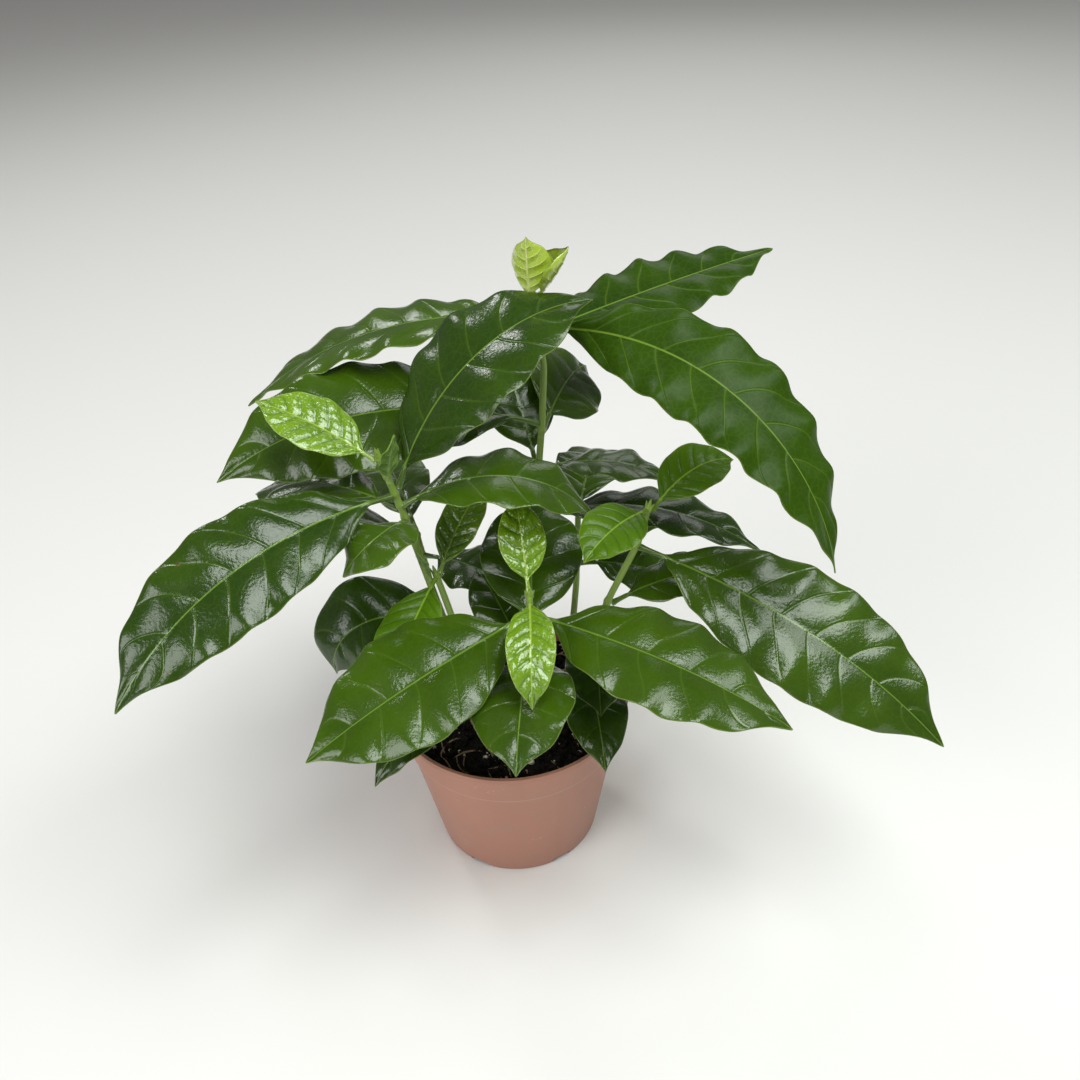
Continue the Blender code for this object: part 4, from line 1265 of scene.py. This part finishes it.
@dataclass
class Peat:
    """The filled soil: an uneven damp surface with loose crumbs, perlite and fibres strewn over it."""

    SIDES: ClassVar[int] = 288
    RINGS: ClassVar[int] = 96
    CRUMBS: ClassVar[int] = 900
    PERLITE: ClassVar[int] = 110
    FIBRES: ClassVar[int] = 110
    BUMPS: ClassVar[tuple[tuple[float, float], ...]] = ((1.1, 11 * MM), (0.8, 4.3 * MM), (0.5, 1.9 * MM))
    CRUMB_SIZES: ClassVar[tuple[float, float]] = (0.6 * MM, 3.2 * MM)
    PERLITE_SIZES: ClassVar[tuple[float, float]] = (0.6 * MM, 2.0 * MM)

    seed: int = 11

    def top_radius(self) -> float:
        """Radius of the soil's surface, just inside the pot's wall."""
        return Pot.inner_radius(SOIL_TOP) - GAP

    def surface(self, x: Array, y: Array) -> Array:
        """Height of the soil: a low mound with noise in three sizes on it."""
        share = np.hypot(x, y) / self.top_radius()
        mound = SOIL_TOP + SOIL_MOUND * (1.0 - 1.6 * share**2.2)
        bumps = sum(
            height * lattice_noise(x, y, cell, self.seed + i) for i, (height, cell) in enumerate(self.BUMPS)
        )
        return mound + bumps * MM

    def body(self) -> Draft:
        """The soil itself: a bumpy disc on top, and inside the pot a plain turned body."""
        sweep = np.linspace(0.0, 1.0, self.RINGS) ** 0.8 * self.top_radius() + POLE_RADIUS
        turn = np.linspace(0.0, 2.0 * np.pi, self.SIDES, endpoint=False)
        x, y = sweep[:, None] * np.cos(turn), sweep[:, None] * np.sin(turn)
        disc = np.stack([x, y, self.surface(x, y)], axis=-1)
        collar_foot = POT_HEIGHT - COLLAR_HEIGHT
        foot = FLOOR + GAP
        below = np.array([
            (Pot.inner_radius(collar_foot + 2 * COLLAR_STEP) - GAP, collar_foot + 2 * COLLAR_STEP),
            (Pot.inner_radius(collar_foot) - GAP, collar_foot),
            (Pot.inner_radius(foot) - GAP, foot),
            (POLE_RADIUS, foot),
        ])
        return Draft.skin(np.concatenate([disc, turned(below, self.SIDES)]))

    def strewn(self, count: int, dice: np.random.Generator) -> Array:
        """Random places on the surface, as many as asked."""
        away = (self.top_radius() - 2.5 * MM) * np.sqrt(dice.random(count))
        turn = dice.uniform(0.0, 2.0 * np.pi, count)
        x, y = away * np.cos(turn), away * np.sin(turn)
        return np.stack([x, y, self.surface(x, y)], axis=1)

    def grains(self, count: int, sizes: tuple[float, float], rough: float, seed: int) -> Draft:
        """Loose grains: each a ball of 32 faces with its corners moved, then squashed and turned.

        Args:
            count: How many.
            sizes: The least and greatest radius in metres.
            rough: How far corners move, as a share of the radius.
            seed: The random draw's seed.

        Returns:
            All grains as one draft.
        """
        dice = np.random.default_rng(seed)
        ball, faces = small_ball()
        reach = sizes[0] + (sizes[1] - sizes[0]) * dice.random(count) ** 2
        shape = ball[None] * (1.0 + rough * dice.uniform(-1.0, 1.0, (count, len(ball), 1)))
        shape = shape * dice.uniform(0.55, 1.0, (count, 1, 3)) * reach[:, None, None]
        spin = np.linalg.qr(dice.normal(size=(count, 3, 3)))[0]
        spin = spin * np.sign(np.linalg.det(spin))[:, None, None]
        places = self.strewn(count, dice)
        places[:, 2] += 0.25 * reach
        points = np.einsum("nij,nkj->nki", spin, shape) + places[:, None]
        tris = faces[None] + len(ball) * np.arange(count)[:, None, None]
        return Draft(points.reshape(-1, 3), np.zeros((0, 4), int), tris.reshape(-1, 3))

    def fibres(self) -> Draft:
        """Thin curved strips of bark and root, each lying on the soil."""
        dice = np.random.default_rng(self.seed + 5)
        strips = []
        for middle in self.strewn(self.FIBRES, dice):
            length = dice.uniform(5, 17) * MM
            angle = dice.uniform(0, 2 * np.pi)
            bend = dice.uniform(-0.9, 0.9)
            t = np.linspace(-0.5, 0.5, 9)
            way = angle + bend * t
            x = middle[0] + length * t * np.cos(way)
            y = middle[1] + length * t * np.sin(way)
            inside = min(1.0, (self.top_radius() - 1.5 * MM) / np.hypot(x, y).max())
            x, y = x * inside, y * inside
            z = self.surface(x, y) + (0.5 + 1.6 * dice.random() * np.abs(t)) * MM
            thick = dice.uniform(0.22, 0.75) * MM * np.sqrt(1.02 - (2 * t) ** 2)
            strips.append(Draft.skin(tube(np.stack([x, y, z], axis=1), thick, 6, (0.0, 0.0, 1.0))))
        return Draft.join(strips)

    def build(self) -> None:
        """Make the soil and what lies on it, and dress them."""
        damp = PeatFinish().build()
        dress(self.body().to_object("peat_body", [damp]), "soil", ["soil"])
        crumbs = self.grains(self.CRUMBS, self.CRUMB_SIZES, 0.25, self.seed + 3)
        dress(crumbs.to_object("peat_crumbs", [damp]), "soil")
        perlite = self.grains(self.PERLITE, self.PERLITE_SIZES, 0.3, self.seed + 4)
        pale = GritFinish("perlite", (0.72, 0.66, 0.55), (0.35, 0.25, 0.16), 0.8).build()
        dress(perlite.to_object("perlite_grains", [pale]), "soil")
        bark = GritFinish("bark_fibre", (0.30, 0.20, 0.12), (0.10, 0.055, 0.03), 0.7).build()
        dress(self.fibres().to_object("bark_fibres", [bark]), "soil")


def small_ball() -> tuple[Array, Array]:
    """A ball of 18 corners and 32 triangles: an octahedron with each edge halved and pushed out."""
    corners = np.array([(1, 0, 0), (0, 1, 0), (-1, 0, 0), (0, -1, 0), (0, 0, 1), (0, 0, -1)], float)
    belt = [(i, (i + 1) % 4) for i in range(4)]
    edges = belt + [(i, 4) for i in range(4)] + [(i, 5) for i in range(4)]
    halves = unit(np.array([corners[a] + corners[b] for a, b in edges]))
    number = {frozenset(edge): 6 + i for i, edge in enumerate(edges)}
    faces = []
    for a, b in belt:
        for pole in (4, 5):
            one, two = (a, b) if pole == 4 else (b, a)
            ab, bc = number[frozenset((one, two))], number[frozenset((two, pole))]
            ca = number[frozenset((pole, one))]
            faces += [(one, ab, ca), (ab, two, bc), (ca, bc, pole), (ab, bc, ca)]
    return np.vstack([corners, halves]), np.array(faces)


@dataclass(frozen=True)
class SoftLight:
    """A square soft light: where it hangs, what it looks at, its side in metres and its power in watts."""

    name: str
    place: Place
    target: Place
    side: float
    power: float
    colour: Colour = (1.0, 1.0, 1.0)

    def hang(self) -> None:
        """Put the light in the scene, turned to its target."""
        lamp = bpy.data.lights.new(self.name, "AREA")
        lamp.shape = "SQUARE"
        lamp.size = self.side
        lamp.energy = self.power
        lamp.color = self.colour
        light = bpy.data.objects.new(self.name, lamp)
        bpy.context.scene.collection.objects.link(light)
        away = np.array(self.place) - np.array(self.target)
        turn = math.atan2(away[1], away[0])
        tilt = math.acos(away[2] / np.linalg.norm(away))
        light.matrix_world = (
            Matrix.Translation(self.place) @ Matrix.Rotation(turn, 4, "Z") @ Matrix.Rotation(tilt, 4, "Y")
        )


@dataclass(frozen=True)
class Studio:
    """A plain pale floor, soft lights and the photo's camera."""

    FLOOR_SIDE: ClassVar[float] = 12.0
    SENSOR: ClassVar[float] = 36.0
    TABLE_COLOUR: ClassVar[Colour] = (0.80, 0.79, 0.775)
    TABLE_ROUGHNESS: ClassVar[float] = 0.55
    ROOM_COLOUR: ClassVar[Colour] = (1.0, 0.98, 0.95)

    camera_place: Place = (0.0, -0.385, 0.4655)
    pitch: float = 36.2
    yaw: float = 2.76
    roll: float = -2.66
    lens: float = 34.67
    ambient: float = 0.17
    lights: tuple[SoftLight, ...] = (
        SoftLight("ceiling", (0.50, -0.58, 2.05), (0.0, 0.0, 0.15), 1.2, 36.0, (0.96, 1.0, 0.97)),
        SoftLight("right", (1.35, 0.0, 1.70), (0.0, 0.0, 0.15), 0.75, 9.0, (0.96, 1.0, 0.98)),
        SoftLight("back_left", (-0.75, 1.15, 1.35), (0.0, 0.0, 0.15), 0.30, 4.0),
        SoftLight("back", (0.5, 1.9, 1.1), (0.0, 0.0, 0.15), 0.9, 3.0),
        SoftLight("front_left", (-1.6, -1.3, 1.3), (0.0, 0.0, 0.1), 1.3, 26.0),
    )

    def lay_floor(self) -> None:
        """A pale matt table top that fills the view."""
        half = self.FLOOR_SIDE / 2.0
        mesh = bpy.data.meshes.new("table_top")
        corners = [(-half, -half, 0), (half, -half, 0), (half, half, 0), (-half, half, 0)]
        mesh.from_pydata(corners, [], [(0, 1, 2, 3)])
        mesh.materials.append(Sheet("pale_table").finish(self.TABLE_COLOUR, self.TABLE_ROUGHNESS))
        floor = bpy.data.objects.new("table_top", mesh)
        bpy.context.scene.collection.objects.link(floor)
        floor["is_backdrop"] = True

    def light_world(self) -> None:
        """Even pale light from all round."""
        world = bpy.data.worlds.new("pale_room")
        world.use_nodes = True
        sky = world.node_tree.nodes["Background"]
        sky.inputs["Color"].default_value = (*self.ROOM_COLOUR, 1.0)
        sky.inputs["Strength"].default_value = self.ambient
        bpy.context.scene.world = world
        bpy.context.scene.view_settings.view_transform = "Standard"

    def set_camera(self) -> None:
        """The photo's camera, turned by yaw to the right, pitch down and roll about its own axis."""
        pitch, yaw, roll = (math.radians(angle) for angle in (self.pitch, self.yaw, self.roll))
        ahead = np.array([
            math.sin(yaw) * math.cos(pitch), math.cos(yaw) * math.cos(pitch), -math.sin(pitch)
        ])
        level = np.array([math.cos(yaw), -math.sin(yaw), 0.0])
        above = np.cross(level, ahead)
        right = level * math.cos(roll) + above * math.sin(roll)
        up = above * math.cos(roll) - level * math.sin(roll)
        lens = bpy.data.cameras.new("photo_camera")
        lens.lens = self.lens
        lens.sensor_width = self.SENSOR
        lens.clip_start = 0.01
        camera = bpy.data.objects.new("photo_camera", lens)
        bpy.context.scene.collection.objects.link(camera)
        turned_to = Matrix((right.tolist(), up.tolist(), (-ahead).tolist())).transposed().to_4x4()
        camera.matrix_world = Matrix.Translation(self.camera_place) @ turned_to
        bpy.context.scene.camera = camera

    def build(self) -> None:
        """Lay the floor, light it and set the camera."""
        self.lay_floor()
        self.light_world()
        for light in self.lights:
            light.hang()
        self.set_camera()


class Season(Enum):
    """The ages of leaf on the plant, each with its form and finishes."""

    MATURE = LeafKind(
        slot="leaf", fold=14, curl=30, wave=1.5 * MM, wave_length=22, stalk_radius=1.2 * MM,
        vein_spacing=17.5 * MM, vein_lead=0.13, quilt=0.65 * MM, brick=0.0, swell=0.35 * MM,
        row_spacing=1.2 * MM,
        upper=BladeFinish(
            "mature_leaf", deep=(0.016, 0.043, 0.0010), fresh=(0.046, 0.098, 0.002),
            # margin: a painted highlight along the rim, paler than the skin
            vein=(0.075, 0.145, 0.010), rib=(0.12, 0.21, 0.025), margin=(0.13, 0.20, 0.03),
            vein_width=0.032, vein_strength=0.30, net_size=3.4 * MM, net_depth=0.03 * MM,
            grain_depth=0.13 * MM, roughness=0.19, coat=0.0, specular=0.52,
        ),
        under=UndersideFinish("leaf_underside", (0.085, 0.17, 0.04), (0.17, 0.27, 0.09)),
    )
    OLD = replace(
        MATURE, wave=2.2 * MM, quilt=0.50 * MM, swell=0.3 * MM,
        upper=BladeFinish(
            "old_leaf", deep=(0.012, 0.034, 0.0012), fresh=(0.030, 0.074, 0.002),
            # margin: a painted highlight along the rim, paler than the skin
            vein=(0.085, 0.16, 0.012), rib=(0.13, 0.22, 0.025), margin=(0.12, 0.19, 0.03),
            vein_width=0.032, vein_strength=0.42, net_size=3.4 * MM, net_depth=0.02 * MM,
            grain_depth=0.06 * MM, roughness=0.36, coat=0.0, specular=0.12,
        ),
        under=UndersideFinish("old_leaf_underside", (0.075, 0.15, 0.035), (0.15, 0.24, 0.08)),
    )
    YOUNG = LeafKind(
        slot="young_leaf", fold=18, curl=24, wave=0.6 * MM, wave_length=14, stalk_radius=0.9 * MM,
        vein_spacing=6.0 * MM, vein_lead=0.16, quilt=0.50 * MM, brick=0.36 * MM, swell=0.3 * MM,
        row_spacing=0.5 * MM,
        upper=BladeFinish(
            "young_leaf", deep=(0.075, 0.175, 0.002), fresh=(0.19, 0.34, 0.005),
            # vein: painted shade in the creases, darker than the skin; margin: a painted highlight along the
            # rim
            vein=(0.06, 0.15, 0.001), rib=(0.30, 0.44, 0.05), margin=(0.30, 0.42, 0.07),
            vein_width=0.09, vein_strength=0.5, net_size=1.9 * MM, net_depth=0.15 * MM,
            grain_depth=0.03 * MM, roughness=0.20, coat=1.0, specular=0.5,
        ),
        under=UndersideFinish("young_leaf_underside", (0.16, 0.29, 0.05), (0.27, 0.40, 0.12)),
    )
    GROWING = replace(
        YOUNG, quilt=0.38 * MM, brick=0.12 * MM, swell=0.25 * MM,
        upper=BladeFinish(
            "growing_leaf", deep=(0.040, 0.098, 0.001), fresh=(0.090, 0.190, 0.003),
            # vein: painted shade in the creases, darker than the skin; margin: a painted highlight along the
            # rim
            vein=(0.035, 0.10, 0.001), rib=(0.20, 0.33, 0.03), margin=(0.20, 0.31, 0.04),
            vein_width=0.08, vein_strength=0.55, net_size=1.9 * MM, net_depth=0.05 * MM,
            grain_depth=0.04 * MM, roughness=0.32, coat=0.0, specular=0.25,
        ),
        under=UndersideFinish("growing_leaf_underside", (0.13, 0.25, 0.04), (0.22, 0.34, 0.09)),
    )
    ROLLED = LeafKind(
        slot="young_leaf", fold=5, curl=-65, wave=0.3 * MM, wave_length=14, stalk_radius=0.9 * MM,
        vein_spacing=4.5 * MM, vein_lead=0.16, quilt=0.40 * MM, brick=0.2 * MM, swell=0.2 * MM,
        row_spacing=0.4 * MM,
        upper=BladeFinish(
            "unfolding_leaf", deep=(0.30, 0.42, 0.012), fresh=(0.46, 0.60, 0.03),
            vein=(0.46, 0.56, 0.09), rib=(0.46, 0.56, 0.09), margin=(0.035, 0.018, 0.006),
            vein_width=0.09, vein_strength=0.45, net_size=1.6 * MM, net_depth=0.10 * MM,
            grain_depth=0.03 * MM, roughness=0.20, coat=1.0, specular=0.5, margin_width=1.6,
        ),
        under=UndersideFinish("unfolding_leaf_underside", (0.46, 0.62, 0.05), (0.58, 0.68, 0.20), 0.22, 1.0),
    )


SEASONS = {
    Season.OLD: OLD_LEAVES,
    Season.MATURE: MATURE_LEAVES,
    Season.GROWING: GROWING_LEAVES,
    Season.YOUNG: YOUNG_LEAVES,
    Season.ROLLED: ROLLED_LEAVES,
}


@dataclass
class Plants:
    """All stems and leaves that stand in the pot."""

    PHASE_STEP: ClassVar[float] = 0.37
    FIRST_SEED: ClassVar[int] = 100
    SEED_STEP: ClassVar[int] = 7

    def build(self) -> None:
        """Make each stem, then the leaves of each season with their waves shifted on one by one.

        The shift is counted within a season, so the waves don't stand where the CAD leaves have theirs.
        """
        bark = BarkFinish().build()
        for stem in STEMS:
            Stem(stem).build(bark)
        for season, leaves in SEASONS.items():
            kind = season.value
            finishes = [kind.upper.build(), kind.under.build()]
            for i, leaf in enumerate(leaves):
                phase = (self.PHASE_STEP * i) % 1.0
                blade = Blade(leaf, kind, phase, self.FIRST_SEED + self.SEED_STEP * i)
                piece = blade.draft().to_object(f"{leaf.name}_blade", finishes)
                dress(piece, kind.slot, [leaf.name])


def main() -> None:
    """Build the plant piece by piece, then the studio, and note its size beside the CAD's."""
    logging.basicConfig(level=logging.INFO, format="%(name)s: %(message)s")
    Pot().build()
    Peat().build()
    Plants().build()
    Studio().build()
    dressed_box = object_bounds()
    boxes = {"cad": CAD_BOX, "visual": dressed_box}
    {name: [list(corner) for corner in box] for name, box in boxes.items()}
    LOG.info("bounds of the CAD and of the dressed plant: %s", boxes)


if __name__ == "__main__":
    main()
